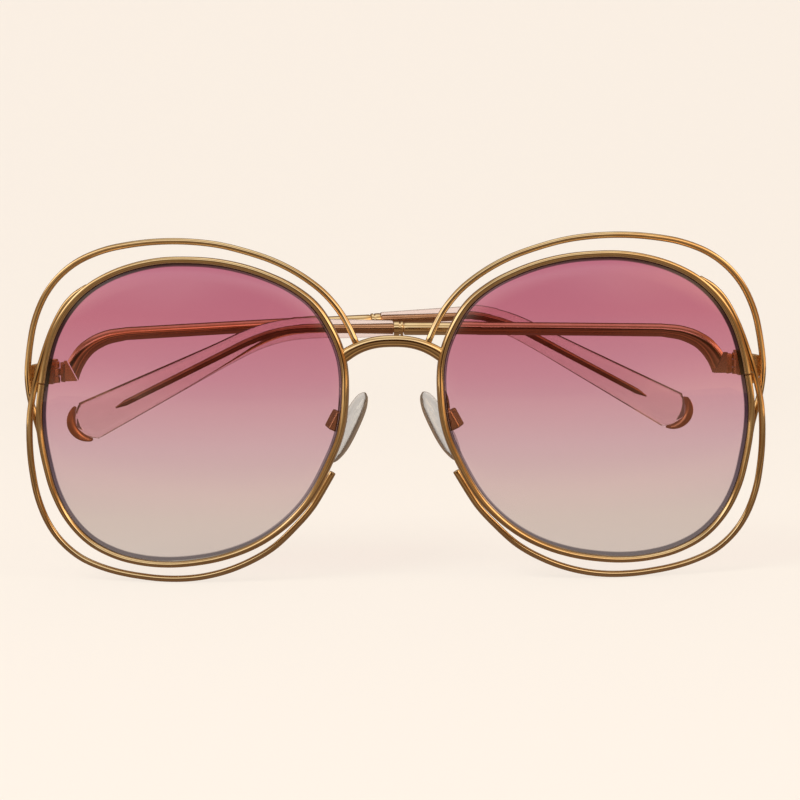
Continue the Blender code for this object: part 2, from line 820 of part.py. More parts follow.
def make_collar(side, carrier):
    """A thin and a thick ring with a groove between them, round the core."""
    groove = collar_radius - collar_groove_depth
    thin_end = collar_start + (collar_end - collar_start - collar_groove_length) / 3
    profile = (
        (collar_start, collar_radius * collar_edge_share),
        (collar_start + collar_groove_length / 2, collar_radius),
        (thin_end, collar_radius),
        (thin_end, groove),
        (thin_end + collar_groove_length, groove),
        (thin_end + collar_groove_length, collar_radius),
        (collar_end - collar_groove_length / 2, collar_radius),
        (collar_end, collar_radius * collar_edge_share),
    )
    rings = [round_ring(side, run, radius, 2 * rod_sides) for run, radius in profile]
    collar = add_part(side_name(side, "temple_collar"), loft("collar", rings), gold, carrier)
    combine(collar, core_cutter(side, "collar_bore", carrier), "DIFFERENCE")


def core_cutter(side, name, carrier):
    """The room for the core: its own stations, a seat gap wider all round."""
    rows = core_stations()
    first = (rows[0][0] - collar_length / 4, rows[0][1])
    end = rows[-1]
    last = (end[0] + seat_gap, end[1])
    rings = []
    for run, radius in [first, *rows[1:-1], last]:
        rings.append(round_ring(side, run, radius + seat_gap, rod_sides))
    return add_cutter(side_name(side, name), loft(name, rings), carrier)


def tip_half_height(side, run):
    places = (tip_start, tip_middle, tip_centre(side))
    heights = (tip_start_half_height, tip_middle_half_height, tip_end_half_height)
    return float(np.interp(run, places, heights))


def tip_half_thickness(run):
    places = (tip_start, tip_middle)
    return float(np.interp(run, places, (tip_start_half_thickness, tip_end_half_thickness)))


def plate_arc():
    """Radius of the half moon's inner arc and how far its centre lies before tip_centre."""
    reach = tip_end_half_height - plate_width
    before = (tip_end_half_height**2 - reach**2) / (2 * reach)
    return reach + before, before


def make_tip(side, carrier):
    """The clear tip: a widening blade with a bore for the core and a round end."""
    edge = tip_edge_share
    rows = [(tip_start, tip_start_half_height * edge, tip_start_half_thickness * edge)]
    centre = tip_centre(side)
    full_start = tip_start + 2 * seat_gap
    steps = 18
    for i in range(steps + 1):
        run = full_start + (centre - full_start) * i / steps
        rows.append((run, tip_half_height(side, run), tip_half_thickness(run)))
    radius, before = plate_arc()
    inner = radius - seat_gap
    start_turn = atan2(before, tip_end_half_height)
    end_steps = 6
    for i in range(1, end_steps + 1):
        turn = start_turn + (pi / 2 - start_turn) * i / (end_steps + 0.4)
        ahead = inner * sin(turn) - before
        run = centre + ahead * cos(line_lean(side, temple_length))
        rows.append((run, inner * cos(turn), tip_end_half_thickness))
    rings = []
    for run, tall, thick in rows:
        height = line_height(side, run)
        lean = line_lean(side, run)
        rings.append(oval_ring(side, run, height, lean, tall, thick, tip_sides, tip_square_share))
    tip = add_part(side_name(side, "temple_tip"), loft("tip", rings), clear_plastic, carrier)
    combine(tip, core_cutter(side, "tip_bore", carrier), "DIFFERENCE")


def make_tip_plate(side, carrier):
    """The half moon that closes the round end of the tip."""
    radius, before = plate_arc()
    centre = tip_centre(side)
    level = line_height(side, centre)
    lean = line_lean(side, temple_length)
    steps = 16
    rings = []
    for i in range(steps + 1):
        turn = plate_horn_angle * (2 * i / steps - 1)
        near = sqrt(radius**2 - (before * sin(turn)) ** 2) - before * cos(turn)
        inside = near + seat_gap
        ring = []
        for reach_share, thick_share in plate_section_shares:
            reach = inside + (tip_end_half_height - inside) * reach_share
            along = reach * cos(turn)
            up = reach * sin(turn)
            run = centre + along * cos(lean) + up * sin(lean)
            height = level - along * sin(lean) + up * cos(lean)
            ring.append(temple_point(side, run, thick_share * tip_end_half_thickness, height))
        rings.append(ring)
    mesh = loft("tip_plate", rings)
    add_part(side_name(side, "tip_plate"), mesh, gold, carrier)


def make_temple_leaf(side, carrier):
    """The turning hinge leaf: middle knuckle, tongue, and the block the neck is soldered to."""
    half = middle_knuckle_height / 2
    knuckle = cylinder_mesh("knuckle", knuckle_radius, -half, half, 24)
    leaf = add_part(side_name(side, "hinge_temple_leaf"), knuckle, gold, carrier)
    run, height, lean, tall = neck_section(neck_shares[0], side)[:4]
    top = height + tall * cos(lean)
    bottom = height - tall * cos(lean)
    solder = 1.5 * seat_gap / cos(lean)
    top_run = run + tall * sin(lean) - solder
    bottom_run = run - tall * sin(lean) - solder
    near = knuckle_radius + leaf_gap
    stations = ((near, near), (max(top_run, near + seat_gap), bottom_run))
    rings = []
    for upper_run, lower_run in stations:
        ring = []
        for place, out, up in (
            (lower_run, -1, bottom), (lower_run, 1, bottom), (upper_run, 1, top), (upper_run, -1, top)
        ):
            ring.append(temple_point(side, place, out * leaf_half_thickness, up))
        rings.append(ring)
    block = add_cutter(side_name(side, "leaf_block"), loft("block", rings), carrier)
    combine(leaf, block, "UNION")
    rings = []
    for place in (knuckle_radius * 0.7, near + leaf_length / 4):
        ring = []
        for out, up in ((-1, -1), (1, -1), (1, 1), (-1, 1)):
            across = out * tongue_half_thickness
            ring.append(temple_point(side, place, across, up * (half - running_gap / 2)))
        rings.append(ring)
    tongue = add_cutter(side_name(side, "leaf_tongue"), loft("tongue", rings), carrier)
    combine(leaf, tongue, "UNION")
    hole_radius = hinge_screw_radius + running_gap
    hole = cylinder_mesh("hole", hole_radius, -half - cut_overrun, half + cut_overrun, 20)
    combine(leaf, add_cutter(side_name(side, "leaf_hole"), hole, carrier), "DIFFERENCE")


def make_temple(side):
    folded = left_folded_angle if side > 0 else right_folded_angle
    carrier = add_axis(
        side_name(side, "temple_axis"),
        (side * hinge_x, hinge_y, hinge_z),
        (0, 0, side * (pi / 2 - folded)),
    )
    make_temple_leaf(side, carrier)
    make_temple_rod(side, carrier)
    make_collar(side, carrier)
    make_tip(side, carrier)
    make_tip_plate(side, carrier)


def pad_directions(side):
    """Unit directions of a pad: towards the nose, front to back, and down its length."""
    flat = Vector((-side * cos(pad_tilt), 0, -sin(pad_tilt)))
    back = Vector((0, 1, 0))
    inward = flat * cos(pad_splay) + back * sin(pad_splay)
    rearward = -flat * sin(pad_splay) + back * cos(pad_splay)
    down = Vector((side * sin(pad_tilt), 0, -cos(pad_tilt)))
    return inward, rearward, down


def pad_frame(side):
    """Matrix from pivot coordinates to the world: X towards the nose, Y back, Z up."""
    inward, rearward, down = pad_directions(side)
    face = Vector((side * pad_half_gap, 0, 0))
    place = face - inward * pivot_depth - down * pivot_rise
    turn = Matrix((inward, rearward, -down)).transposed().to_4x4()
    return Matrix.Translation(place) @ turn


def make_nose_pad(side):
    """A teardrop pad with a flat bearing face, and the lug that the screw holds."""
    frame = pad_frame(side)
    carrier = add_axis(side_name(side, "pad_axis"), frame.translation, (0, 0, 0))
    local = Matrix.Translation(-frame.translation) @ frame
    outline = []
    for share, width in pad_outline_shares:
        outline.append((width * pad_half_width, pad_half_length * (1 - 2 * share)))
    for share, width in pad_outline_shares[-2:0:-1]:
        outline.append((-width * pad_half_width, pad_half_length * (1 - 2 * share)))
    rings = []
    for depth_share, size in pad_layer_shares:
        inward = pivot_depth - depth_share * pad_thickness
        ring = []
        for y, z in outline:
            ring.append(local @ Vector((inward, y * size, z * size - pivot_rise)))
        rings.append(ring)
    pad = add_part(side_name(side, "nose_pad"), loft("nose_pad", rings), clear_plastic, carrier)
    root = pivot_depth - pad_thickness * 0.6
    neck = box_mesh(
        "lug_neck", (0, -lug_half_thickness, -lug_radius), (root, lug_half_thickness, lug_radius), local
    )
    combine(pad, add_cutter(side_name(side, "lug_neck"), neck, carrier), "UNION")
    upright = local @ Matrix.Rotation(pi / 2, 4, "X")
    eye = cylinder_mesh("eye", lug_radius, -lug_half_thickness, lug_half_thickness, 20, upright)
    combine(pad, add_cutter(side_name(side, "lug_eye"), eye, carrier), "UNION")
    hole_radius = pad_screw_radius + running_gap
    hole = cylinder_mesh("hole", hole_radius, -cut_overrun, cut_overrun, 16, upright)
    combine(pad, add_cutter(side_name(side, "lug_hole"), hole, carrier), "DIFFERENCE")


def make_pad_box(side):
    """The metal cup round the lug, and the screw through both."""
    frame = pad_frame(side)
    inside_end = -lug_radius - lug_end_gap
    outside_end = inside_end - pad_box_wall
    wide = pad_box_half_width
    tall = pad_box_half_height
    body = box_mesh("pad_box", (outside_end, -wide, -tall), (pad_box_mouth, wide, tall), frame)
    box = add_part(side_name(side, "pad_box"), body, gold)
    rounding = box.modifiers.new("rounding", "BEVEL")
    rounding.width = pad_box_edge_round
    rounding.segments = 2
    rounding.limit_method = "ANGLE"
    room = lug_half_thickness + lug_side_gap
    inner = tall - pad_box_wall
    slot = box_mesh(
        "pad_slot", (inside_end, -room, -inner), (pad_box_mouth + cut_overrun, room, inner), frame
    )
    combine(box, add_cutter(side_name(side, "pad_slot"), slot), "DIFFERENCE")
    upright = frame @ Matrix.Rotation(pi / 2, 4, "X")
    hole_radius = pad_screw_radius + running_gap
    reach = wide + cut_overrun
    hole = cylinder_mesh("hole", hole_radius, -reach, reach, 16, upright)
    combine(box, add_cutter(side_name(side, "pad_box_hole"), hole), "DIFFERENCE")
    seat = wide + seat_gap
    profile = (
        (pad_screw_radius, -wide),
        (pad_screw_radius, seat),
        (pad_screw_head_radius, seat),
        (pad_screw_head_radius, seat + pad_screw_head_height * head_side_share),
        (pad_screw_head_radius * head_edge_share, seat + pad_screw_head_height),
    )
    screw = add_part(
        side_name(side, "pad_screw"), turned_mesh("pad_screw", profile, 16, upright), gold
    )
    head_top = seat + pad_screw_head_height
    slot_low = (-cut_overrun, -screw_slot_width / 2, head_top - screw_slot_depth)
    slot_high = (cut_overrun, screw_slot_width / 2, head_top + cut_overrun)
    cut = add_cutter(side_name(side, "pad_screw_slot"), box_mesh("slot", slot_low, slot_high, upright))
    combine(screw, cut, "DIFFERENCE")


def make_pad_arm(side):
    """The bent wire from the back of the rim to the top of the pad box."""
    frame = pad_frame(side)
    outer = rim_outer(pad_arm_angle)
    middle = outer - rim_width / 2
    turn = radians(pad_arm_angle)
    back = lens_sag(middle) + rim_depth / 2 + 2 * seat_gap
    start = eye_point(side, middle * cos(turn), back, middle * sin(turn))
    end = frame @ Vector((-pad_box_wall, 0, pad_box_half_height + seat_gap))
    way = end - start
    rows = []
    for x_share, y_share, z_share, rise_share in pad_arm_shares:
        place = Vector((x_share * way.x, y_share * way.y, z_share * way.z))
        rows.append(start + place + Vector((0, 0, rise_share * pad_arm_rise)))
    knots = list(range(len(rows)))
    steps = 20
    points = []
    for i in range(steps + 1):
        knot = knots[-1] * i / steps
        points.append([smooth_value(list(zip(knots, [row[k] for row in rows])), knot) for k in range(3)])
    mesh = wire_mesh("pad_arm", points, pad_arm_radius)
    add_part(side_name(side, "pad_arm"), mesh, gold)


make_bridge()
for side in (1, -1):
    make_rim(side)
    make_lens(side)
    make_upper_wire(side)
    make_lower_wire(side)
    make_lock(side)
    make_end_piece(side)
    make_front_leaf(side)
    make_temple(side)
    make_nose_pad(side)
    make_pad_box(side)
    make_pad_arm(side)
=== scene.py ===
"""Round sunglasses, dressed: polished gold wires, gradient lenses, clear tips and pads.

Metres, in the frame of the CAD model: +Z up, the front faces -Y. Side 1 is the wearer's left
and side -1 the right. Angles are in radians, or in degrees where they go with a table or
are a step.
"""

from math import atan2, cos, degrees, hypot, pi, radians, sin, sqrt, tan

import bmesh
import bpy
import numpy as np
from mathutils import Matrix, Quaternion, Vector


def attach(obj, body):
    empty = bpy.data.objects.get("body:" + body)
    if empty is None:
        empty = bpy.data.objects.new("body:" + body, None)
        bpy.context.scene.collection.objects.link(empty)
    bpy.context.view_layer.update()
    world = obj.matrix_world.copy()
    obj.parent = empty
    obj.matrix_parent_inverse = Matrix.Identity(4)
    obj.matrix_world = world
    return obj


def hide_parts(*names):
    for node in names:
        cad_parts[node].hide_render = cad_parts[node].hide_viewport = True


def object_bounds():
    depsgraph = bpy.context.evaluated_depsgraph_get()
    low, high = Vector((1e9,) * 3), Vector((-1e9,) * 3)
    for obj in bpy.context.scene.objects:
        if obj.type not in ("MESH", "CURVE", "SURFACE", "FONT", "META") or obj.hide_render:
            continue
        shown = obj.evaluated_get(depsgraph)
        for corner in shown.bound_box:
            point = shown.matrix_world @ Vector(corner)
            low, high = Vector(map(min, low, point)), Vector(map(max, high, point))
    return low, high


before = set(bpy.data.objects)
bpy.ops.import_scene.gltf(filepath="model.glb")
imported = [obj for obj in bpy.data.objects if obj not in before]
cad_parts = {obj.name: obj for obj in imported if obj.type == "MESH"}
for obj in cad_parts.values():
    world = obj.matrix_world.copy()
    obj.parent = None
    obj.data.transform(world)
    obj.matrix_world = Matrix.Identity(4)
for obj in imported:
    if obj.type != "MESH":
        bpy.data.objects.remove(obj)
cad_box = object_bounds()

# The camera: where it looks from, and the point of the object it looks at
view_azimuth = radians(1.2)
view_elevation = radians(4.5)
view_roll = radians(-0.84)
view_distance = 0.380
view_focal = 86.9
view_sensor_width = 36
view_clip_start = 0.01
view_target = Vector((0.0013, -0.0065, 0.0062))

# Front: rims, lenses, wires and bridge, as in the CAD model
lens_height = 0.0045
rim_plane_y = -0.0065
rim_radius = 0.0309
lens_spacing = 0.0793
lens_base_radius = 0.110
lens_thickness = 0.0018
wrap_angle = radians(6.5)
rim_width = 0.0014
rim_depth = 0.0024
groove_depth = 0.00065
groove_half_width = 0.0005
bevel_height = 0.00055
bevel_half_width = 0.00035
seam_angle = 10.5
seam_gap = 0.0003
seat_gap = 0.00012
wire_radius = 0.0007
wire_seat_back = rim_depth / 2 + wire_radius + seat_gap
bridge_angle = 160.5
bridge_rise = 0.0026
bridge_half_height = 0.00115
bridge_forward_bow = 0.0006
bridge_arch_power = 2.4
bridge_end_power = 6
bridge_foot_flare_share = 1.15
wire_foot_share = 0.73
wire_foot_bow_share = 0.02
wire_foot_dip = radians(12)

# Front: what only the dressed model has, with rims and wires slimmer than the CAD model's
rim_shown_width = 0.00125
rim_depth_ease = 0.00002
rim_front_round = 0.0007
rim_back_round = 0.0004
rim_front_step = 15
rim_steps = 240
lens_steps = 240
lens_rings = 14
lens_first_share = 0.08
lens_curve_share = 0.9
lens_shade_share = 0.75
bridge_half_depth = 0.00093
bridge_reach_share = 1.06
bridge_section_power = 0.9
bridge_angle_step = 2
bridge_rings = 85
bridge_sides = 24
wire_shown_share = 0.92
wire_angle_step = 5
wire_path_steps = 3
wire_taper_share = 0.6
wire_taper_points = 4
wire_sides = 16
steep_share = 0.9

# Hinges and temples, as in the CAD model
hinge_half_spacing = 0.069297
hinge_y = 0.007805
hinge_z = 0.011697
knuckle_radius = 0.00105
middle_knuckle_height = 0.0015
outer_knuckle_height = 0.0013
leaf_gap = 0.0009
leaf_half_thickness = 0.0009
neck_start = 0.00375
neck_reach = 0.0110
neck_rise = 0.00673
right_rod_lift = 0.0006
left_rod_slope = radians(1.0)
right_rod_slope = radians(1.6)
temple_length = 0.134494
temple_bow = 0.0095
bow_length = 0.119994
rod_radius = 0.00135
rod_length = 0.0672
core_radius = 0.00085
core_end_radius = 0.0006
core_length = 0.123594
core_point_length = 0.0020
collar_radius = 0.00153
collar_length = 0.00195
collar_groove_length = 0.0003
collar_groove_depth = 0.0003
drop_start = 0.093994
drop_blend = 0.0140
left_drop_angle = radians(26.3)
right_drop_angle = radians(30.8)
tip_start_half_height = 0.0017
tip_middle_half_height = 0.0026
tip_end_half_height = 0.0041
tip_middle = 0.104994
tip_start_half_thickness = 0.0016
plate_width = 0.0017
plate_horn_angle = radians(72)
left_folded_angle = radians(-1.7)
right_folded_angle = radians(12.3)

# Hinges and temples: what only the dressed model has
barrel_skin = 0.00003
barrel_radius = knuckle_radius + barrel_skin
barrel_round = 0.00022
barrel_bore_share = 0.55
barrel_sides = 32
temple_sides = 24
neck_rings = 21
rod_rings = 40
rod_end_round = 0.0003
rod_end_share = 0.9
core_rings = 29
core_point_share = 0.25
collar_sides = 40
collar_edge_share = 0.92
collar_shoulder_share = 0.98
collar_lip_share = 0.97
tip_sides = 40
tip_rings = 57
tip_end_rings = 15
tip_end_reach_share = 0.97
tip_section_power = 0.8
tip_end_half_thickness = 0.00171
plate_rings = 49

# Nose pads and their arms, as in the CAD model
pad_half_gap = 0.0087
pad_tilt = radians(27.7)
pad_splay = radians(25)
pad_half_length = 0.0078
pad_half_width = 0.0037
pad_thickness = 0.0018
pad_pivot_depth = 0.00355
pad_pivot_rise = 0.0002
pad_box_half_height = 0.0019
pad_box_wall = 0.0004
lug_radius = 0.0010
lug_half_thickness = 0.0006
pad_arm_radius = 0.0005
pad_arm_angle = 175
pad_arm_rise = 0.0022

# Nose pads: what only the dressed model has
pad_outline_steps = 5
pad_outline_lap = 3
pad_layers = 15
# Painted highlight of the pads, and painted shade over their lugs
pad_painted_highlight_shade = -0.35
lug_painted_shade = 0.2
lug_steps = 12
pad_arm_steps = 6

# Softened edges
sharp_angle = radians(38)
weld_distance = 0.00001
screw_edge_round = 0.00008
block_edge_round = 0.0002
edge_round_steps = 3
edge_round_angle = radians(35)

# Outlines of the rim and its two wires: angle, and share of the rim's radius
rim_shares = (
    (0, 1.032), (10, 1.024), (20, 1.037), (30, 1.057), (40, 1.066), (50, 1.060),
    (60, 1.039), (70, 1.016), (80, 0.998), (90, 0.985), (100, 0.986), (120, 1.016),
    (130, 1.044), (140, 1.066), (150, 1.062), (160, 1.052), (175, 1.013), (190, 0.984),
    (200, 0.962), (220, 0.958), (240, 0.962), (260, 0.976), (270, 0.993),
    (280, 1.023), (290, 1.060), (300, 1.099), (310, 1.125), (320, 1.120),
    (330, 1.093), (340, 1.059),
)
upper_wire_shares = (
    (-23, 1.061), (-15, 1.051), (-5, 1.057), (0, 1.084), (10, 1.136), (20, 1.173),
    (30, 1.218), (40, 1.243), (50, 1.231), (60, 1.187), (70, 1.136), (80, 1.100),
    (90, 1.079), (100, 1.072), (110, 1.074), (120, 1.092), (130, 1.114), (140, 1.136),
    (148, 1.142),
)
lower_wire_shares = (
    (-156, 0.976), (-150, 0.970), (-140, 0.978), (-130, 0.987), (-120, 1.011),
    (-110, 1.029), (-100, 1.051), (-90, 1.076), (-80, 1.103), (-70, 1.138),
    (-60, 1.189), (-50, 1.238), (-40, 1.244), (-30, 1.206), (-20, 1.152), (-10, 1.111),
    (0, 1.085), (10, 1.063), (20, 1.062), (30, 1.076), (40, 1.089), (49, 1.069),
)
# How far behind the rim the wires run: angle, and share of the way to its back
upper_back_shares = ((-23, 1.0), (0, 1.02), (15, 0.9), (45, 0.3), (120, 0.1), (148, 0.0))
lower_back_shares = (
    (-156, 1.0), (-142, 0.98), (-130, 0.78), (-115, 0.35), (-100, 0.15), (0, 0.15),
    (10, 0.4), (20, 0.82), (30, 0.97), (49, 1.0),
)
# Width of the painted shade along the lens edge, by angle
painted_shade_band = (
    (0, 0.00090), (45, 0.00075), (90, 0.00050), (150, 0.00030), (200, 0.00035),
    (240, 0.00060), (270, 0.00090), (300, 0.00105), (330, 0.00100), (360, 0.00090),
)
# Rings of a wire's end: how far inside the end, and how wide, in shares of its radius
wire_end_shares = ((0.1309527, 0.650091), (0.0723392, 0.905070), (0.3, 1.0))
# The neck of a temple: reach, rise, the section's lean back and its height, and its width
neck_shares = (
    (0.000, 0.020, 0.76, 1.54, 0.67),
    (0.073, 0.244, 0.63, 1.44, 0.72),
    (0.164, 0.444, 0.48, 1.41, 0.80),
    (0.323, 0.674, 0.22, 1.30, 0.90),
    (0.586, 0.881, 0.07, 1.15, 0.97),
    (1.000, 1.000, 0.00, 1.00, 1.00),
)
# The first rings of a clear tip: start in seat gaps, and share of its first size
tip_start_shares = ((0, 0.85), (1, 0.95))
tip_even_start = 3
# Section of the half-moon: share of its width, and share of the tip's half thickness
plate_shares = (
    (0, -0.70), (0.08, -0.84), (0.25, -0.90), (0.75, -0.90), (0.92, -0.80), (1, -0.55),
    (1, 0.55), (0.92, 0.80), (0.75, 0.90), (0.25, 0.90), (0.08, 0.84), (0, 0.70),
)
# Sizes of the shoulder's three rings beside a hinge
shoulder_shares = (0.86, 0.96, 1.0)
# Half of a pad's outline: share of its length from the top, and share of its half width
pad_outline_shares = (
    (0.00, 0.00), (0.02, 0.32), (0.08, 0.60), (0.20, 0.82), (0.38, 0.95), (0.58, 1.00),
    (0.76, 0.92), (0.90, 0.67), (0.975, 0.35), (1.00, 0.00),
)
# Through a pad's thickness: share of the way, with its size and with its painted edge shade, below
# nought where it is a painted highlight
pad_layer_shares = ((0.0, 0.86), (0.25, 0.98), (0.5, 1.0), (0.8, 0.88), (1.0, 0.60))
pad_painted_shading_shares = (
    (0.05, 0.5), (0.2, pad_painted_highlight_shade), (0.4, pad_painted_highlight_shade), (0.5, 1.0), (0.6, 1.0), (0.75, 0.1),
)
pad_face_shares = (0.25, 0.55, 0.8)
# Through a lug's thickness: share of its half thickness, and its size
lug_layer_shares = ((-1.0, 0.88), (-0.75, 1.0), (0.75, 1.0), (1.0, 0.88))
# A pad arm's way from the rim to the pad box: shares in X, Y and Z, and of its rise
pad_arm_shares = (
    (0.00, 0.00, 0.00, 0.00), (0.00, 0.10, 0.00, 0.04), (-0.03, 0.27, 0.04, 0.60),
    (0.15, 0.52, 0.20, 1.00), (0.50, 0.76, 0.42, 0.95), (0.85, 0.95, 0.68, 0.60),
    (1.00, 1.00, 0.88, 0.22), (1.00, 1.00, 1.00, 0.00),
)

# Materials: grains in waves a metre, colours, gloss, ripples and refraction
noise_low = 0.3
noise_high = 0.7
mottle_low = 0.35
mottle_high = 0.65
plating_tone_grain = 260
plating_mark_grain = 2600
plating_mark_stretch = (1.0, 1.0, 0.35)
plating_ripple_grain = 900
plating_ripple_strength = 0.05
plating_ripple_depth = 0.00004
tip_colour = (0.91, 0.77, 0.75)
tip_gloss_grain = 400
tip_smoothest = 0.018
tip_roughest = 0.042
tip_ripple_grain = 160
tip_ripple_strength = 0.08
tip_ripple_depth = 0.0001
pad_tone_grain = 900
pad_deep_colour = (0.66, 0.68, 0.70)
pad_pale_colour = (0.76, 0.78, 0.80)
pad_gloss_grain = 700
pad_smoothest = 0.05
pad_roughest = 0.12
pad_coat_roughness = 0.06
pad_painted_highlight_colour = (0.97, 0.97, 0.97)
pad_painted_shade_colour = (0.42, 0.43, 0.46)
lens_refraction = 1.5
tip_refraction = 1.49
pad_refraction = 1.12

# Tints of the lens from its lowest to its highest point, and of the painted shade along its edge
tint_low = -0.030
tint_high = 0.036
tint_rows = (
    (0.00, (0.70, 0.67, 0.66)),
    (0.20, (0.69, 0.61, 0.60)),
    (0.42, (0.66, 0.46, 0.53)),
    (0.62, (0.61, 0.29, 0.39)),
    (0.80, (0.56, 0.195, 0.29)),
    (1.00, (0.48, 0.14, 0.25)),
)
painted_edge_shade_rows = (
    (0.00, (0.20, 0.19, 0.20)),
    (0.30, (0.13, 0.10, 0.13)),
    (0.50, (0.06, 0.03, 0.05)),
    (0.80, (0.03, 0.008, 0.014)),
)

# Floor and backdrop, and the painted reflection that the floor shows in the metal, from front to
# back
pale_colour = (0.945, 0.875, 0.800)
floor_roughness = 0.9
floor_glow_share = 0.85
floor_half_width = 1.5
floor_front = -1.2
floor_back = 0.5
floor_curve_radius = 0.25
floor_curve_steps = 12
backdrop_height = 1.4
mirrored_front = -0.40
mirrored_back = 0.02
painted_reflection_rows = (
    (0.00, (0.30, 0.21, 0.12)),
    (0.50, (0.20, 0.13, 0.07)),
    (0.74, (0.10, 0.06, 0.03)),
    (0.82, (0.46, 0.31, 0.17)),
    (0.87, (0.12, 0.07, 0.04)),
    (1.00, (0.22, 0.15, 0.10)),
)

lamp_target = Vector((0, 0, 0.005))

# The room round the object: bands by height, warmth by side, and a dark flag in front
room_strength = 2.2
room_band_rows = (
    (0.00, (0.10, 0.07, 0.04)),
    (0.30, (0.16, 0.11, 0.06)),
    (0.37, (0.62, 0.52, 0.40)),
    (0.42, (0.20, 0.14, 0.08)),
    (0.49, (0.52, 0.44, 0.32)),
    (0.56, (0.14, 0.09, 0.05)),
    (0.65, (0.20, 0.14, 0.08)),
    (0.71, (0.90, 0.84, 0.72)),
    (0.78, (1.00, 0.98, 0.94)),
    (0.83, (0.44, 0.36, 0.25)),
    (0.92, (0.30, 0.25, 0.18)),
    (1.00, (0.80, 0.76, 0.68)),
)
room_warmth_rows = (
    (0.00, (0.84, 0.74, 0.60)),
    (0.15, (0.70, 0.65, 0.57)),
    (0.28, (0.60, 0.60, 0.58)),
    (0.62, (0.60, 0.59, 0.56)),
    (0.80, (0.86, 0.66, 0.44)),
    (1.00, (1.00, 0.68, 0.40)),
)
room_flag_rows = (
    (0.030, (0.16, 0.09, 0.05)),
    (0.075, (1.00, 1.00, 1.00)),
)


def new_object(name, data):
    thing = bpy.data.objects.new(name, data)
    bpy.context.scene.collection.objects.link(thing)
    return thing


# Materials

def new_material(name):
    look = bpy.data.materials.new(name)
    look.use_nodes = True
    tree = look.node_tree
    tree.nodes.clear()
    out = tree.nodes.new("ShaderNodeOutputMaterial")
    shader = tree.nodes.new("ShaderNodeBsdfPrincipled")
    tree.links.new(shader.outputs[0], out.inputs["Surface"])
    return look, tree, shader, out


def noise(tree, grain, detail, stretch=None):
    """Noise over the object's own space, drawn out where a stretch is given."""
    place = tree.nodes.new("ShaderNodeTexCoord").outputs["Object"]
    if stretch is not None:
        turn = tree.nodes.new("ShaderNodeMapping")
        turn.inputs["Scale"].default_value = stretch
        tree.links.new(place, turn.inputs["Vector"])
        place = turn.outputs[0]
    node = tree.nodes.new("ShaderNodeTexNoise")
    node.inputs["Scale"].default_value = grain
    node.inputs["Detail"].default_value = detail
    tree.links.new(place, node.inputs["Vector"])
    return node.outputs["Fac"]


def coordinates(tree, source):
    """The X, Y and Z of a point of the object, or of a direction."""
    place = tree.nodes.new("ShaderNodeTexCoord").outputs[source]
    split = tree.nodes.new("ShaderNodeSeparateXYZ")
    tree.links.new(place, split.inputs[0])
    return split.outputs


def ramp(tree, value, rows):
    """A colour ramp over a value, with rows of place and colour."""
    node = tree.nodes.new("ShaderNodeValToRGB")
    tree.links.new(value, node.inputs[0])
    stops = node.color_ramp.elements
    while len(stops) < len(rows):
        stops.new(0.5)
    for stop, (place, colour) in zip(stops, rows):
        stop.position = place
        stop.color = (*colour, 1.0)
    return node.outputs["Color"]


def spread(tree, value, low, high, new_low=0.0, new_high=1.0):
    """A value mapped from one span to another, and held within it."""
    node = tree.nodes.new("ShaderNodeMapRange")
    for name, number in (
        ("From Min", low), ("From Max", high), ("To Min", new_low), ("To Max", new_high)
    ):
        node.inputs[name].default_value = number
    tree.links.new(value, node.inputs["Value"])
    return node.outputs["Result"]


def mottle(tree, grain, detail, first, second):
    """A colour that wanders between two."""
    tone = noise(tree, grain, detail)
    return ramp(tree, tone, ((mottle_low, first), (mottle_high, second)))


def uneven_gloss(tree, shader, marks, low, high):
    """Roughness that wanders between two values along a noise."""
    roughness = spread(tree, marks, noise_low, noise_high, low, high)
    tree.links.new(roughness, shader.inputs["Roughness"])


def ripple(tree, shader, grain, strength, depth):
    """A faint unevenness of the surface."""
    height = noise(tree, grain, 2)
    node = tree.nodes.new("ShaderNodeBump")
    node.inputs["Strength"].default_value = strength
    node.inputs["Distance"].default_value = depth
    tree.links.new(height, node.inputs["Height"])
    tree.links.new(node.outputs[0], shader.inputs["Normal"])


def give_colour(tree, socket, colour):
    """A socket's colour, plain or from another socket."""
    if isinstance(colour, tuple):
        socket.default_value = (*colour, 1.0)
    else:
        tree.links.new(colour, socket)


def painted_edge_shading(tree):
    """The painted shade stored along a clear piece's edge, below nought where it is a painted
    highlight.
    """
    shade = tree.nodes.new("ShaderNodeAttribute")
    shade.attribute_name = "painted_edge_shading"
    return shade.outputs["Fac"]


def mix_colours(tree, share, first, second, blend="MIX"):
    """A mix of two colours, each a socket or a plain colour."""
    node = tree.nodes.new("ShaderNodeMix")
    node.data_type = "RGBA"
    node.blend_type = blend
    if isinstance(share, float):
        node.inputs["Factor"].default_value = share
    else:
        tree.links.new(share, node.inputs["Factor"])
    sockets = [socket for socket in node.inputs if socket.enabled and socket.name in "AB"]
    for socket, colour in zip(sockets, (first, second)):
        give_colour(tree, socket, colour)
    return [socket for socket in node.outputs if socket.enabled][0]


def mix_shaders(tree, share, first, second):
    node = tree.nodes.new("ShaderNodeMixShader")
    for socket, source in zip(node.inputs, (share, first, second)):
        tree.links.new(source, socket)
    return node.outputs[0]


def glow(tree, colour):
    node = tree.nodes.new("ShaderNodeEmission")
    give_colour(tree, node.inputs["Color"], colour)
    return node.outputs[0]


def calculate(tree, operation, first, second, clamp=False):
    """A calculation with a socket and a second socket or number."""
    node = tree.nodes.new("ShaderNodeMath")
    node.operation = operation
    node.use_clamp = clamp
    tree.links.new(first, node.inputs[0])
    if isinstance(second, float):
        node.inputs[1].default_value = second
    else:
        tree.links.new(second, node.inputs[1])
    return node.outputs[0]


def straight_rays(tree):
    """1 for camera rays, also past clear pieces."""
    path = tree.nodes.new("ShaderNodeLightPath").outputs
    return calculate(tree, "MAXIMUM", path["Is Camera Ray"], path["Is Transmission Ray"])


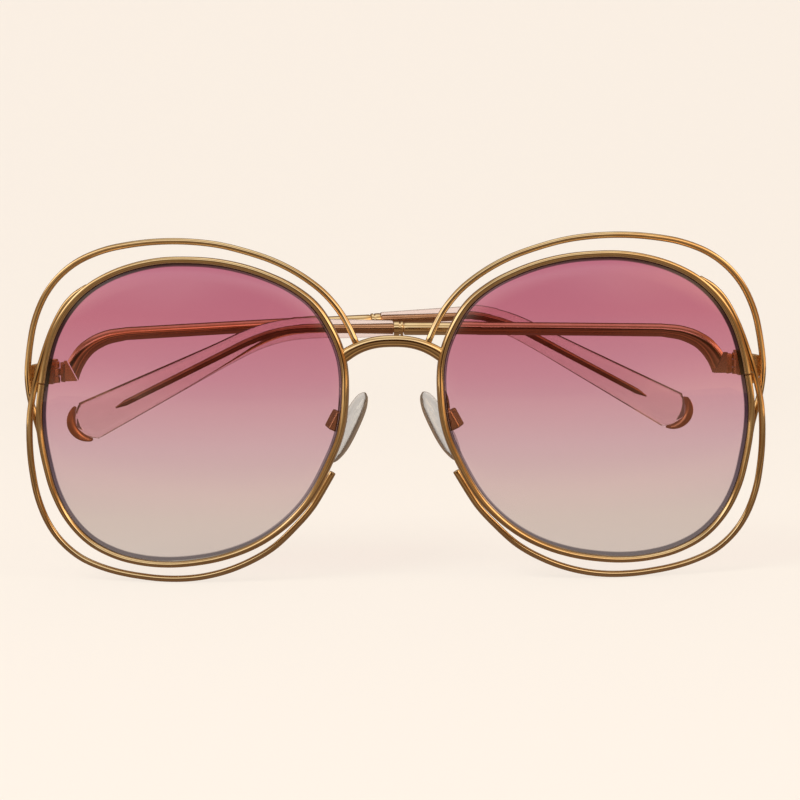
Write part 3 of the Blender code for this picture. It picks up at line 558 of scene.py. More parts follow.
def mirrored_rays(tree):
    """1 for rays that metal mirrors, but not past clear pieces."""
    path = tree.nodes.new("ShaderNodeLightPath").outputs
    return calculate(tree, "SUBTRACT", path["Is Glossy Ray"], path["Is Transmission Ray"], True)


def make_clear(shader, refraction):
    shader.inputs["Transmission Weight"].default_value = 1.0
    shader.inputs["IOR"].default_value = refraction


def let_lamps_through(tree, shader, out, colour):
    """Rays from lamps pass the clear material with its tint, so they reach what is behind."""
    path = tree.nodes.new("ShaderNodeLightPath")
    film = tree.nodes.new("ShaderNodeBsdfTransparent")
    give_colour(tree, film.inputs["Color"], colour)
    both = mix_shaders(tree, path.outputs["Is Shadow Ray"], shader.outputs[0], film.outputs[0])
    tree.links.new(both, out.inputs["Surface"])


def make_gold(name, pale, deep, low, high):
    """Polished plating: faint tone changes, and fine polishing marks in the gloss."""
    look, tree, shader, _ = new_material(name)
    colour = mottle(tree, plating_tone_grain, 4, deep, pale)
    tree.links.new(colour, shader.inputs["Base Color"])
    shader.inputs["Metallic"].default_value = 1.0
    marks = noise(tree, plating_mark_grain, 3, plating_mark_stretch)
    uneven_gloss(tree, shader, marks, low, high)
    ripple(tree, shader, plating_ripple_grain, plating_ripple_strength, plating_ripple_depth)
    return look


def make_lens_tint():
    """Rose at the top fading to pale beige, as a clear polished plastic, with painted shade at its
    edge.
    """
    look, tree, shader, out = new_material("gradient_lens")
    height = spread(tree, coordinates(tree, "Object")["Z"], tint_low, tint_high)
    tint = ramp(tree, height, tint_rows)
    # Painted shade: darker colours along the lens edge, where the groove shows through
    dark = ramp(tree, height, painted_edge_shade_rows)
    tint = mix_colours(tree, painted_edge_shading(tree), tint, dark)
    tree.links.new(tint, shader.inputs["Base Color"])
    shader.inputs["Roughness"].default_value = 0.0
    make_clear(shader, lens_refraction)
    let_lamps_through(tree, shader, out, tint)
    return look


def make_tip_plastic():
    """Clear blush plastic with a soft polish."""
    look, tree, shader, out = new_material("clear_acetate")
    shader.inputs["Base Color"].default_value = (*tip_colour, 1.0)
    make_clear(shader, tip_refraction)
    marks = noise(tree, tip_gloss_grain, 3)
    uneven_gloss(tree, shader, marks, tip_smoothest, tip_roughest)
    ripple(tree, shader, tip_ripple_grain, tip_ripple_strength, tip_ripple_depth)
    let_lamps_through(tree, shader, out, tip_colour)
    return look


def make_pad_plastic():
    """Clear soft plastic, with a painted highlight round its face and painted shade along its
    edge.
    """
    look, tree, shader, out = new_material("clear_pad")
    tone = mottle(tree, pad_tone_grain, 4, pad_deep_colour, pad_pale_colour)
    shade = painted_edge_shading(tree)
    # Painted highlight where the stored shade is below nought, painted shade where it is above
    lit = mix_colours(tree, spread(tree, shade, 0.0, pad_painted_highlight_shade), tone, pad_painted_highlight_colour)
    colour = mix_colours(tree, spread(tree, shade, 0.0, 1.0), lit, pad_painted_shade_colour)
    tree.links.new(colour, shader.inputs["Base Color"])
    make_clear(shader, pad_refraction)
    shader.inputs["Coat Weight"].default_value = 1.0
    shader.inputs["Coat Roughness"].default_value = pad_coat_roughness
    marks = noise(tree, pad_gloss_grain, 3)
    uneven_gloss(tree, shader, marks, pad_smoothest, pad_roughest)
    let_lamps_through(tree, shader, out, colour)
    return look


# Each plating's pale and deep tone, and its smoothest and roughest gloss
gold = make_gold("gold_metal", (0.90, 0.70, 0.44), (0.83, 0.61, 0.36), 0.05, 0.13)
screw_gold = make_gold("screw_metal", (0.80, 0.60, 0.36), (0.70, 0.50, 0.28), 0.14, 0.28)
plate_gold = make_gold("half_moon_metal", (1.00, 0.62, 0.36), (0.94, 0.54, 0.29), 0.30, 0.44)
worn_gold = make_gold("hinge_metal", (0.92, 0.70, 0.44), (0.80, 0.56, 0.32), 0.20, 0.34)
# The core's darker gold is painted shade on the wire inside the clear tip
painted_shade_core_gold = make_gold("core_metal_painted_shade", (0.62, 0.36, 0.22), (0.50, 0.27, 0.16), 0.10, 0.22)
lens_tint = make_lens_tint()
tip_clear = make_tip_plastic()
pad_clear = make_pad_plastic()


# Shapes

def side_name(side, piece):
    return ("left_" if side > 0 else "right_") + piece


def dress(node, body, slot, look, rings, matrix=np.eye(4), poles=()):
    """A piece on a body, from rings of points, smooth but for its sharp edges."""
    mesh = skin(node, to_world(matrix, rings), *poles)
    piece = new_object("fine_" + node, mesh)
    mesh.materials.append(look)
    mesh.shade_smooth()
    mesh.set_sharp_from_angle(angle=sharp_angle)
    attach(piece, body)
    if look in (lens_tint, tip_clear, pad_clear):
        # Metal mirrors the room past the clear pieces, so they don't dye it
        piece.visible_glossy = False
    return piece


def add(node, *rest, **more):
    """A finer piece that stands for a CAD node."""
    piece = dress(node, *rest, **more)
    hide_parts(node)
    return piece


def paint_edge_shading(piece, shades):
    """Stores the painted shade along a clear piece's edge, one number a point."""
    stored = piece.data.attributes.new("painted_edge_shading", "FLOAT", "POINT")
    stored.data.foreach_set("value", np.asarray(shades, dtype=float))


def to_world(matrix, points):
    points = np.asarray(points, dtype=float)
    return points @ matrix[:3, :3].T + matrix[:3, 3]


def skin(name, rings, first=None, last=None):
    """A closed skin through rings of equally many points, capped or drawn to poles."""
    count, around = rings.shape[:2]
    points = [tuple(p) for p in rings.reshape(-1, 3)]
    faces = []
    for low in range(0, (count - 1) * around, around):
        high = low + around
        for j in range(around):
            k = (j + 1) % around
            faces.append((low + j, low + k, high + k, high + j))
    for start, pole in ((0, first), ((count - 1) * around, last)):
        if pole is None:
            faces.append(tuple(range(start, start + around)))
        else:
            points.append(tuple(pole))
            for j in range(around):
                faces.append((start + j, start + (j + 1) % around, len(points) - 1))
    mesh = bpy.data.meshes.new(name)
    mesh.from_pydata(points, [], faces)
    shape = bmesh.new()
    shape.from_mesh(mesh)
    bmesh.ops.recalc_face_normals(shape, faces=shape.faces)
    shape.to_mesh(mesh)
    shape.free()
    return mesh


def smooth(rows, at):
    """Values between rows of (place, value), on a smooth cubic through them."""
    places, values = np.array(rows, dtype=float).T
    slopes = np.gradient(values, places)
    i = np.clip(np.searchsorted(places, at) - 1, 0, len(places) - 2)
    width = places[i + 1] - places[i]
    t = (at - places[i]) / width
    return (
        (2 * t**3 - 3 * t**2 + 1) * values[i]
        + (t**3 - 2 * t**2 + t) * width * slopes[i]
        + (3 * t**2 - 2 * t**3) * values[i + 1]
        + (t**3 - t**2) * width * slopes[i + 1]
    )


def finer(points, times):
    """A smooth path through points, with this many steps between each two."""
    points = np.asarray(points, dtype=float)
    knots = np.arange(len(points))
    at = np.linspace(0, knots[-1], knots[-1] * times + 1)
    return np.array([smooth(list(zip(knots, points[:, k])), at) for k in range(3)]).T


def turns(sides, first=0.0):
    """Evenly spaced angles once round."""
    return 2 * pi * (np.arange(sides) + first) / sides


def squared(values, power):
    """Sines or cosines pushed outwards, so that an oval gets fuller corners."""
    return np.sign(values) * np.abs(values) ** power


def tube(points, radii):
    """Rings of a round wire through points, narrowed at both ends."""
    ahead = np.gradient(points, axis=0)
    ahead /= np.linalg.norm(ahead, axis=1)[:, None]
    is_steep = abs(ahead[0][2]) >= steep_share
    side = np.cross(ahead[0], (1.0, 0.0, 0.0) if is_steep else (0.0, 0.0, 1.0))
    round_way = turns(wire_sides)
    rings = []
    for i, (point, way, radius) in enumerate(zip(points, ahead, radii)):
        side = side - way * (side @ way)
        side /= np.linalg.norm(side)
        other = np.cross(way, side)
        out = np.outer(np.cos(round_way), side) + np.outer(np.sin(round_way), other)
        if 0 < i < len(points) - 1:
            rings.append(point + radius * out)
            continue
        inward = way if i == 0 else -way
        cap = [point + radius * (depth * inward + width * out) for depth, width in wire_end_shares]
        rings += cap if i == 0 else cap[::-1]
    return rings


def corner(centre, radius, first, last, steps=4):
    """Points of an arc round a centre, between two angles in degrees."""
    return [
        (centre[0] + radius * cos(radians(a)), centre[1] + radius * sin(radians(a)))
        for a in np.linspace(first, last, steps + 1)
    ]


def rim_outer(angles):
    """The rim's outer radius at these angles."""
    rows = [(a + turn, share) for turn in (-360, 0, 360) for a, share in rim_shares]
    return rim_radius * smooth(rows, angles % 360)


def lens_sag(radius):
    """How far the lens curve lies behind the plane of the rim at a radius."""
    at_rim = lens_base_radius - sqrt(lens_base_radius**2 - rim_radius**2)
    return lens_base_radius - np.sqrt(lens_base_radius**2 - radius**2) - at_rim


def eye_points(side, across, back, up):
    """World places of points given from a lens centre, across towards the temple."""
    x = lens_spacing / 2 + across * cos(wrap_angle) - back * sin(wrap_angle)
    y = rim_plane_y + across * sin(wrap_angle) + back * cos(wrap_angle)
    return np.stack(np.broadcast_arrays(side * x, y, lens_height + up), axis=-1)


def round_points(side, angles, radius, back):
    """World places of points round a lens centre, at angles in degrees."""
    turn = np.radians(angles)
    return eye_points(side, radius * np.cos(turn), back, radius * np.sin(turn))


def polar_points(side, angles, radius, back=0.0):
    """The same, measured back from the lens curve."""
    return round_points(side, angles, radius, lens_sag(radius) + back)


def make_rim(side):
    """A rim with a round front, an eased back and a groove for the lens, open at its seam."""
    half = rim_depth / 2 - rim_depth_ease
    wide = rim_shown_width
    eased = rim_back_round
    section = [
        (-wide / 2 * (1 + cos(radians(a))), rim_front_round * (1 - sin(radians(a))) - half)
        for a in range(0, 181, rim_front_step)
    ]
    section += corner((-eased, half - eased), eased, 0, 90)
    section += corner((eased - wide, half - eased), eased, 90, 180)
    section += [
        (-wide, groove_half_width), (groove_depth - wide, 0), (-wide, -groove_half_width)
    ]
    half_seam = degrees(seam_gap / (2 * rim_radius))
    angles = seam_angle + np.linspace(half_seam, 360 - half_seam, rim_steps + 1)
    outer = rim_outer(angles)
    middle = lens_sag(outer - rim_width / 2)
    columns = [
        round_points(side, angles, outer + inward, middle + back) for inward, back in section
    ]
    add(side_name(side, "rim"), "front", "gold_metal", gold, np.stack(columns, axis=1))


def make_lens(side):
    """The lens, with painted shade along its edge where the groove shows through it."""
    half = lens_thickness / 2
    angles = seam_angle + np.linspace(0, 360, lens_steps, endpoint=False)
    outer = rim_outer(angles)
    edge = outer - rim_width - seat_gap
    edge_sag = lens_sag(outer - rim_width / 2)
    inner = lens_curve_share * outer
    band = smooth(painted_shade_band, angles % 360)
    rows = [
        (share * outer, lens_sag(share * outer), 0.0)
        for share in np.linspace(lens_first_share, lens_curve_share, lens_rings)
    ]
    # The painted shade fades in across the band inside the lens edge
    for radius, shade in ((edge - band, 0.0), (edge - lens_shade_share * band, 1.0)):
        way = (radius - inner) / (edge - inner)
        rows.append((radius, lens_sag(inner) * (1 - way) + edge_sag * way, shade))
    rows.append((edge, edge_sag, 1.0))
    layers = [(radius, sag - half, shade) for radius, sag, shade in rows]
    bevel = ((edge, -bevel_half_width), (edge + bevel_height, 0), (edge, bevel_half_width))
    layers += [(radius, edge_sag + back, 1.0) for radius, back in bevel]
    layers += [(radius, sag + half, shade) for radius, sag, shade in rows[::-1]]
    rings = [round_points(side, angles, radius, back) for radius, back, _ in layers]
    poles = [eye_points(side, 0.0, lens_sag(0.0) + back, 0.0) for back in (-half, half)]
    lens = add(side_name(side, "lens"), "front", "gradient_lens", lens_tint, rings, poles=poles)
    shades = np.repeat([shade for _, _, shade in layers], len(angles))
    paint_edge_shading(lens, np.append(shades, np.zeros(len(poles))))


def bridge_line(shares):
    """Centres and lean of the bridge at shares of its half span, and the rim's at its foot."""
    foot, beyond = (
        polar_points(1, a, rim_outer(a) + seat_gap)
        for a in (bridge_angle, bridge_angle - bridge_angle_step)
    )
    shares = np.asarray(shares, dtype=float)
    arch = 1 - np.abs(shares) ** bridge_arch_power
    y = foot[1] - bridge_forward_bow * (1 - shares**2)
    centres = np.stack([shares * foot[0], y, foot[2] + bridge_rise * arch], axis=-1)
    steepness = bridge_arch_power * np.abs(shares) ** (bridge_arch_power - 1)
    lean = -np.sign(shares) * np.arctan(bridge_rise * steepness / foot[0])
    along = beyond - foot
    return centres, lean, atan2(along[2], along[0]) - pi / 2


def make_bridge():
    """An arched bar that flares where it meets the rims and runs into them."""
    shares = np.linspace(-bridge_reach_share, bridge_reach_share, bridge_rings)
    centres, lean, end_lean = bridge_line(shares)
    ends = np.minimum(np.abs(shares), 1) ** bridge_end_power
    lean = lean * (1 - ends) + np.sign(shares) * end_lean * ends
    flare = 1 + (bridge_foot_flare_share - 1) * ends
    back = squared(np.sin(turns(bridge_sides)), bridge_section_power) * bridge_half_depth
    rise = squared(np.cos(turns(bridge_sides)), bridge_section_power) * bridge_half_height
    rings = [
        centre + np.stack([-sin(angle) * rise * wide, back, cos(angle) * rise * wide], axis=-1)
        for centre, angle, wide in zip(centres, lean, flare)
    ]
    add("bridge", "front", "gold_metal", gold, rings)


def wire_path(side, radius_shares, back_shares):
    """Points of a wire along its outline, behind the rim by its own table."""
    first = radius_shares[0][0]
    last = radius_shares[-1][0]
    angles = np.linspace(first, last, round((last - first) / wire_angle_step) + 1)
    radius = rim_radius * smooth(radius_shares, angles)
    back = wire_seat_back * smooth(back_shares, angles)
    return list(polar_points(side, angles, radius, back))


def make_wires(side):
    """The two loops round a rim. The upper one runs on to the bridge."""
    points = wire_path(side, upper_wire_shares, upper_back_shares)
    centres, lean, _ = bridge_line([wire_foot_share])
    normal = np.array((-sin(lean[0]) * side, 0, cos(lean[0])))
    lift = bridge_half_height - wire_radius * sin(wire_foot_dip)
    foot = centres[0] * (side, 1, 1) + normal * lift
    last = points[-1]
    points.append((foot + last) / 2 + np.cross(last - foot, (0, side, 0)) * wire_foot_bow_share)
    points.append(foot)
    taper = np.linspace(wire_taper_share, 1.0, wire_taper_points)
    lower = wire_path(side, lower_wire_shares, lower_back_shares)
    # The upper loop narrows at its first points, the lower one at its last
    for piece, path, step in (("upper_wire", points, 1), ("lower_wire", lower, -1)):
        path = finer(path, wire_path_steps)
        radii = np.full(len(path), wire_radius * wire_shown_share)
        radii[::step][:wire_taper_points] *= taper
        add(side_name(side, piece), "front", "gold_metal", gold, tube(path, radii))


def temple_matrix(side):
    """Place of a folded temple: its own Y runs along it from the hinge."""
    folded = left_folded_angle if side > 0 else right_folded_angle
    place = Matrix.Translation((side * hinge_half_spacing, hinge_y, hinge_z))
    return np.array(place @ Matrix.Rotation(side * (pi / 2 - folded), 4, "Z"))


def bow_offset(run):
    """How far a temple bows outwards, this far from its hinge."""
    tail = -temple_bow * pi / bow_length * (run - bow_length)
    return np.where(run < bow_length, temple_bow * np.sin(pi * run / bow_length), tail)


def rod_height(side):
    return neck_rise + (right_rod_lift if side < 0 else 0)


def line_slopes(side):
    """Slopes of the rod and of the drop of a temple."""
    if side > 0:
        return tan(left_rod_slope), tan(left_drop_angle)
    return tan(right_rod_slope), tan(right_drop_angle)


def line_height(side, run):
    """Height of the temple's centre line above the hinge."""
    rise, drop = line_slopes(side)
    height = rod_height(side) + rise * max(run - neck_start - neck_reach, 0)
    past = run - (drop_start - drop_blend / 2)
    if past < 0:
        return height
    if past < drop_blend:
        return height - drop * past**2 / (2 * drop_blend)
    return height - drop * (past - drop_blend / 2)


def line_lean(side, run):
    """Angle below level of the temple's centre line."""
    rise, drop = line_slopes(side)
    share = min(max((run - (drop_start - drop_blend / 2)) / drop_blend, 0), 1)
    return atan2(drop * share - rise, 1)


def oval(side, run, height, lean, tall, thick, sides=temple_sides, power=1.0):
    """A leaning oval section of a temple, in the temple's own coordinates."""
    out = squared(np.cos(turns(sides, 0.5)), power) * thick
    up = squared(np.sin(turns(sides, 0.5)), power) * tall
    along = run + up * sin(lean)
    return np.stack([side * (bow_offset(along) + out), along, height + up * cos(lean)], axis=-1)


def temple_section(side, run, tall, thick, sides=temple_sides, power=1.0):
    """A section of the temple at its centre line, square to it."""
    height = line_height(side, run)
    return oval(side, run, height, line_lean(side, run), tall, thick, sides, power)


def make_rod(side, body, matrix):
    """The rod with its neck, and the core that runs on through the clear tip, darker there as
    painted shade.
    """
    level = rod_height(side)
    places, *columns = np.array(neck_shares).T
    at = np.linspace(0, 1, neck_rings)
    rings = []
    for reach, rise, back, high, wide in zip(
        at, *(smooth(list(zip(places, column)), at) for column in columns)
    ):
        rings.append(oval(
            side, neck_start + reach * neck_reach, rise * level, -atan2(back, high),
            rod_radius * hypot(back, high), rod_radius * wide,
        ))
    neck_end = neck_start + neck_reach
    for run in np.linspace(neck_end, rod_length - rod_end_round, rod_rings)[1:]:
        rings.append(temple_section(side, run, rod_radius, rod_radius))
    end_radius = rod_radius * rod_end_share
    rings.append(temple_section(side, rod_length, end_radius, end_radius))
    rod_faces = len(rings) * temple_sides
    core = list(zip(
        np.linspace(rod_length, core_length, core_rings),
        np.linspace(core_radius, core_end_radius, core_rings),
    ))
    core.append((core_length + core_point_length, core_end_radius * core_point_share))
    rings += [temple_section(side, run, radius, radius) for run, radius in core]
    rod = add(side_name(side, "temple_rod"), body, "gold_metal", gold, rings, matrix)
    # Painted shade: the core inside the clear tip takes the darker gold
    rod.data.materials.append(painted_shade_core_gold)
    for face in rod.data.polygons[rod_faces:]:
        face.material_index = 1


def make_collar(side, body, matrix, start, end):
    """A collar of two bands with a groove between them."""
    bore = core_radius + seat_gap
    groove = collar_radius - collar_groove_depth
    groove_start = start + (end - start - collar_groove_length) / 3
    groove_end = groove_start + collar_groove_length
    soft = collar_groove_length / 2
    softer = soft / 3
    edge = collar_radius * collar_edge_share
    shoulder = collar_radius * collar_shoulder_share
    lip = collar_radius * collar_lip_share
    profile = (
        (start, bore), (start, edge), (start + softer, shoulder), (start + soft, collar_radius),
        (groove_start - softer, collar_radius), (groove_start, lip), (groove_start, groove),
        (groove_end, groove), (groove_end, lip), (groove_end + softer, collar_radius),
        (end - soft, collar_radius), (end - softer, shoulder), (end, edge), (end, bore),
    )
    rings = [temple_section(side, run, radius, radius, collar_sides) for run, radius in profile]
    add(side_name(side, "temple_collar"), body, "gold_metal", gold, rings, matrix)


def tip_end(side):
    """The centre and tilt of a tip's round end, and the half-moon's inner arc: how far its
    centre lies before the end's, and its radius."""
    tilt = line_lean(side, temple_length)
    centre = temple_length - tip_end_half_height * cos(tilt)
    reach = tip_end_half_height - plate_width
    before = (tip_end_half_height**2 - reach**2) / (2 * reach)
    return centre, tilt, before, reach + before


def make_tip(side, body, matrix, start):
    """The clear part of a tip, widening to its end and rounded where the half-moon sits."""
    centre, tilt, before, arc = tip_end(side)
    places = (start, tip_middle, centre)
    heights = (tip_start_half_height, tip_middle_half_height, tip_end_half_height)
    thicks = (tip_start_half_thickness, tip_end_half_thickness)
    rows = [
        (start + gaps * seat_gap, heights[0] * share, thicks[0] * share)
        for gaps, share in tip_start_shares
    ]
    for run in np.linspace(start + tip_even_start * seat_gap, centre, tip_rings):
        rows.append((run, np.interp(run, places, heights), np.interp(run, places[:2], thicks)))
    inner = arc - seat_gap
    first_swing = atan2(before, tip_end_half_height)
    for share in np.linspace(0, tip_end_reach_share, tip_end_rings)[1:]:
        swing = first_swing + (pi / 2 - first_swing) * share
        run = centre + (inner * sin(swing) - before) * cos(tilt)
        rows.append((run, inner * cos(swing), tip_end_half_thickness))
    rings = [
        temple_section(side, run, tall, thick, tip_sides, tip_section_power)
        for run, tall, thick in rows
    ]
    add(side_name(side, "temple_tip"), body, "clear_acetate", tip_clear, rings, matrix)


def make_tip_plate(side, body, matrix):
    """The plain half-moon round the end of a tip."""
    centre, tilt, before, arc = tip_end(side)
    height = line_height(side, centre)
    rings = []
    for swing in np.linspace(-plate_horn_angle, plate_horn_angle, plate_rings):
        inside = sqrt(arc**2 - (before * sin(swing)) ** 2) - before * cos(swing) + seat_gap
        ring = []
        for across, thick in plate_shares:
            reach = inside + across * (tip_end_half_height - inside)
            along = reach * cos(swing)
            up = reach * sin(swing)
            run = centre + along * cos(tilt) + up * sin(tilt)
            out = float(bow_offset(run)) + thick * tip_end_half_thickness
            ring.append((side * out, run, height - along * sin(tilt) + up * cos(tilt)))
        rings.append(ring)
    add(side_name(side, "tip_plate"), body, "gold_metal", plate_gold, rings, matrix)


def make_temple(side):
    body = side_name(side, "temple")
    matrix = temple_matrix(side)
    start = rod_length + seat_gap
    end = start + collar_length
    make_rod(side, body, matrix)
    make_collar(side, body, matrix, start, end)
    make_tip(side, body, matrix, end + seat_gap)
    make_tip_plate(side, body, matrix)


def pad_matrix(side):
    """Place of a nose pad: its own X runs through it towards the nose, and Z up along it."""
    flat = Vector((-side * cos(pad_tilt), 0, -sin(pad_tilt)))
    back = Vector((0, 1, 0))
    inward = flat * cos(pad_splay) + back * sin(pad_splay)
    rearward = -flat * sin(pad_splay) + back * cos(pad_splay)
    down = Vector((side * sin(pad_tilt), 0, -cos(pad_tilt)))
    place = Vector((side * pad_half_gap, 0, 0)) - inward * pad_pivot_depth - down * pad_pivot_rise
    turn = Matrix((inward, rearward, -down)).transposed().to_4x4()
    return np.array(Matrix.Translation(place) @ turn)


def make_nose_pad(side, body, matrix):
    """A flat drop with rounded edges, with a painted highlight round its face and painted shade
    along its rim.
    """
    outline = [
        (width * pad_half_width, pad_half_length * (1 - 2 * share), 0.0)
        for share, width in pad_outline_shares
    ]
    outline += [(-y, z, 0.0) for y, z, _ in outline[-2:0:-1]]
    lap = pad_outline_lap
    steps = pad_outline_steps
    lapped = outline[-lap:] + outline + outline[:lap + 1]
    fine = finer(lapped, steps)[lap * steps:-(lap + 1) * steps]
    layers = np.linspace(0, 1, pad_layers)
    sizes = smooth(pad_layer_shares, layers)
    sections = [(0.0, size * sizes[0]) for size in pad_face_shares] + list(zip(layers, sizes))
    rings = [
        [
            (pad_pivot_depth - layer * pad_thickness, y * size, z * size - pad_pivot_rise)
            for y, z, _ in fine
        ]
        for layer, size in sections
    ]
    pad = add(side_name(side, "nose_pad"), body, "clear_pad", pad_clear, rings, matrix)
    # Painted highlight and painted shade through the pad's thickness
    shades = np.interp(layers, *zip(*pad_painted_shading_shares))
    shades = np.append(np.zeros(len(pad_face_shares)), shades)
    paint_edge_shading(pad, np.repeat(shades, len(fine)))


def make_pad_lug(side, body, matrix):
    """The lug on a pad's back that the pad box holds."""
    reach = pad_pivot_depth - pad_thickness + seat_gap
    rounded = [(-x, -y) for x, y in corner((0, 0), lug_radius, 90, -90, lug_steps)]
    section = [(reach, -lug_radius)] + rounded + [(reach, lug_radius)]
    rings = [
        [(x * size, layer * lug_half_thickness, z * size) for x, z in section]
        for layer, size in lug_layer_shares
    ]
    lug = dress(side_name(side, "pad_lug"), body, "clear_pad", pad_clear, rings, matrix)
    # A little painted shade over the whole lug
    paint_edge_shading(lug, np.full(len(lug.data.vertices), lug_painted_shade))


def make_pad_arm(side, matrix):
    """The bent wire from the back of the rim to the pad box."""
    middle = float(rim_outer(pad_arm_angle)) - rim_width / 2
    start = polar_points(side, pad_arm_angle, middle, rim_depth / 2 + 2 * seat_gap)
    end = to_world(matrix, (-pad_box_wall, 0, pad_box_half_height + seat_gap))
    points = []
    for *shares, rise_share in pad_arm_shares:
        points.append(start + (end - start) * shares + np.array((0, 0, rise_share * pad_arm_rise)))
    path = finer(points, pad_arm_steps)
    rings = tube(path, np.full(len(path), pad_arm_radius))
    add(side_name(side, "pad_arm"), "front", "gold_metal", gold, rings)


def make_pad(side):
    body = side_name(side, "pad")
    matrix = pad_matrix(side)
    make_nose_pad(side, body, matrix)
    make_pad_lug(side, body, matrix)
    make_pad_arm(side, matrix)


def make_barrel(node, body, matrix, low, high):
    """A turned ring with rounded edges, upright in its own coordinates."""
    eased = 1 - barrel_round / barrel_radius
    rows = (
        (barrel_bore_share, low), (eased, low), (1.0, low + barrel_round),
        (1.0, high - barrel_round), (eased, high), (barrel_bore_share, high),
    )
    round_way = turns(barrel_sides)
    out = np.stack([np.cos(round_way), np.sin(round_way)], axis=-1) * barrel_radius
    rings = [np.column_stack([out * share, np.full(barrel_sides, z)]) for share, z in rows]
    dress(node, body, "gold_metal", worn_gold, rings, matrix)


def make_hinge(side):
    """Rounded barrels over the hinge's knuckles, and the shoulder beside them."""
    matrix = temple_matrix(side)
    temple = side_name(side, "temple")
    half = middle_knuckle_height / 2
    far = half + seat_gap + outer_knuckle_height
    for piece, body, low, high in (
        ("knuckle_middle", temple, -half, half),
        ("knuckle_upper", "front", half + seat_gap, far),
        ("knuckle_lower", "front", -far, -half - seat_gap),
    ):
        make_barrel(side_name(side, piece), body, matrix, low, high)
    near = barrel_radius + seat_gap
    centre_x = leaf_half_thickness - seat_gap
    centre_z = half + outer_knuckle_height - seat_gap
    section = []
    for x, z, turn in ((-1, -1, 180), (1, -1, 270), (1, 1, 0), (-1, 1, 90)):
        section += corner((x * centre_x, z * centre_z), seat_gap, turn, turn + 90, 2)
    rings = [
        [(x * size, run, z * size) for x, z in section]
        for run, size in zip((near, near + seat_gap, near + leaf_gap), shoulder_shares)
    ]
    dress(side_name(side, "leaf_shoulder"), temple, "gold_metal", worn_gold, rings, matrix)


def soften_cad_nodes():
    """The small CAD nodes that stay: worn or screw metal, and softened edges."""
    for name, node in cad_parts.items():
        kind = name.split("_", 1)[-1]
        if kind not in (
            "rim_lock_upper", "rim_lock_lower", "end_piece", "hinge_front_leaf",
            "hinge_temple_leaf", "pad_box", "rim_lock_screw", "hinge_screw", "pad_screw",
        ):
            continue
        is_screw = kind.endswith("screw")
        node.data.materials.clear()
        node.data.materials.append(screw_gold if is_screw else worn_gold)
        weld = node.modifiers.new("weld", "WELD")
        weld.merge_threshold = weld_distance
        rounding = node.modifiers.new("rounding", "BEVEL")
        rounding.width = screw_edge_round if is_screw else block_edge_round
        rounding.segments = edge_round_steps
        rounding.limit_method = "ANGLE"
        rounding.angle_limit = edge_round_angle
        rounding.harden_normals = True


make_bridge()
for side in (1, -1):
    make_hinge(side)
    make_rim(side)
    make_lens(side)
    make_wires(side)
    make_temple(side)
    make_pad(side)
soften_cad_nodes()


# Floor, backdrop, light and camera

def backdrop_look():
    """A pale surface that takes shadows, glows for the camera, and glows in bands for rays that
    metal mirrors, a painted reflection.
    """
    look, tree, shader, out = new_material("backdrop")
    shader.inputs["Base Color"].default_value = (*pale_colour, 1.0)
    shader.inputs["Roughness"].default_value = floor_roughness
    glow_share = calculate(tree, "MULTIPLY", straight_rays(tree), floor_glow_share)
    pale = mix_shaders(tree, glow_share, shader.outputs[0], glow(tree, pale_colour))
    # Painted reflection: glowing bands that only the metal mirrors
    ahead = spread(tree, coordinates(tree, "Object")["Y"], mirrored_front, mirrored_back)
    banded = glow(tree, ramp(tree, ahead, painted_reflection_rows))
    both = mix_shaders(tree, mirrored_rays(tree), pale, banded)
    tree.links.new(both, out.inputs["Surface"])
    return look


def make_stage():
    """A floor under the object that curves up into a backdrop behind it."""
    low = min(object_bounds()[0].z, cad_box[0].z)
    profile = [(floor_front, low)]
    curve_centre = (floor_back, low + floor_curve_radius)
    profile += corner(curve_centre, floor_curve_radius, -90, 0, floor_curve_steps)
    profile.append((floor_back + floor_curve_radius, low + backdrop_height))
    points = [(x, y, z) for x in (-floor_half_width, floor_half_width) for y, z in profile]
    count = len(profile)
    faces = [(i, i + 1, count + i + 1, count + i) for i in range(count - 1)]
    mesh = bpy.data.meshes.new("floor")
    mesh.from_pydata(points, [], faces)
    mesh.materials.append(backdrop_look())
    mesh.shade_smooth()
    new_object("floor", mesh)


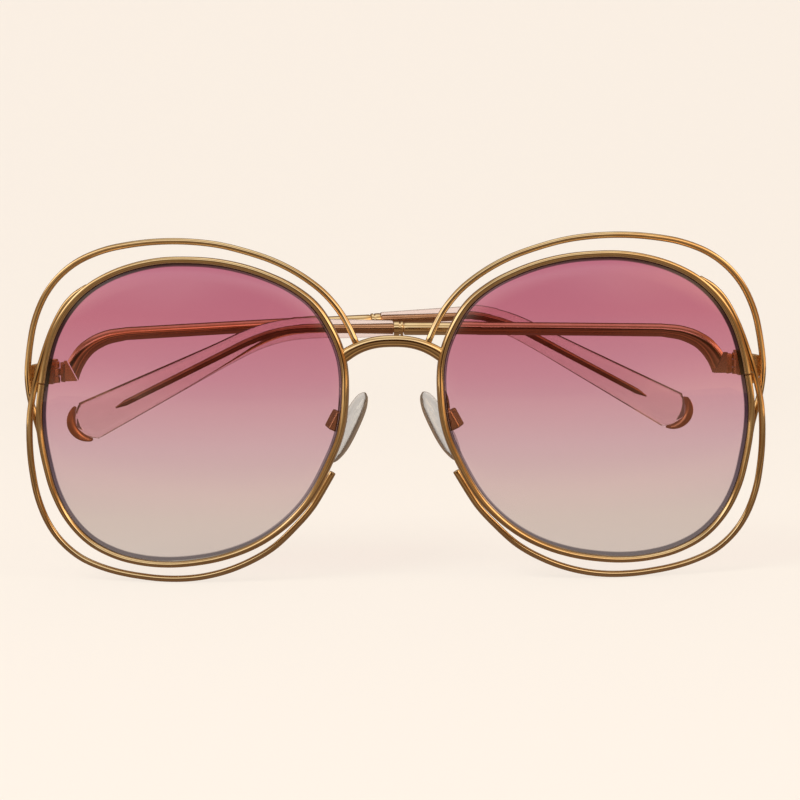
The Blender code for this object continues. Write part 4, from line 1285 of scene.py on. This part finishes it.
def add_lamp(name, place, width, height, power, colour):
    """A soft lamp aimed at the middle of the object, not itself seen in metal or clear pieces."""
    data = bpy.data.lights.new(name, "AREA")
    data.shape = "RECTANGLE"
    data.size = width
    data.size_y = height
    data.energy = power
    data.color = colour
    lamp = new_object(name, data)
    lamp.visible_glossy = False
    lamp.visible_transmission = False
    lamp.location = place
    lamp.rotation_mode = "QUATERNION"
    aim = lamp_target - Vector(place)
    lamp.rotation_quaternion = aim.to_track_quat("-Z", "Y")


def make_world():
    """A banded room for the metal to mirror, and a plain pale colour behind the object."""
    world = bpy.data.worlds.new("room")
    bpy.context.scene.world = world
    world.use_nodes = True
    tree = world.node_tree
    way = coordinates(tree, "Generated")
    bands, warmth, flag = (
        ramp(tree, spread(tree, way[axis], -1.0, 1.0), rows)
        for axis, rows in (("Z", room_band_rows), ("X", room_warmth_rows), ("Y", room_flag_rows))
    )
    warm_bands = mix_colours(tree, 1.0, bands, warmth, "MULTIPLY")
    room = tree.nodes["Background"]
    tree.links.new(mix_colours(tree, 1.0, warm_bands, flag, "MULTIPLY"), room.inputs["Color"])
    room.inputs["Strength"].default_value = room_strength
    pale = tree.nodes.new("ShaderNodeBackground")
    pale.inputs["Color"].default_value = (*pale_colour, 1.0)
    both = mix_shaders(tree, straight_rays(tree), room.outputs[0], pale.outputs[0])
    tree.links.new(both, tree.nodes["World Output"].inputs["Surface"])


def make_camera():
    data = bpy.data.cameras.new("camera")
    data.lens = view_focal
    data.sensor_width = view_sensor_width
    data.clip_start = view_clip_start
    camera = new_object("camera", data)
    away = Vector((
        sin(view_azimuth) * cos(view_elevation),
        -cos(view_azimuth) * cos(view_elevation),
        sin(view_elevation),
    ))
    camera.location = view_target + away * view_distance
    camera.rotation_mode = "QUATERNION"
    level = (-away).to_track_quat("-Z", "Y")
    camera.rotation_quaternion = level @ Quaternion((0, 0, 1), view_roll)
    bpy.context.scene.camera = camera


make_stage()
add_lamp("key", (-0.45, -0.55, 0.65), 0.45, 0.35, 6.0, (1.0, 0.97, 0.93))
add_lamp("fill", (0.60, -0.40, 0.30), 0.30, 0.50, 2.0, (1.0, 0.97, 0.94))
make_world()
make_camera()
bpy.context.scene.view_settings.view_transform = "Standard"
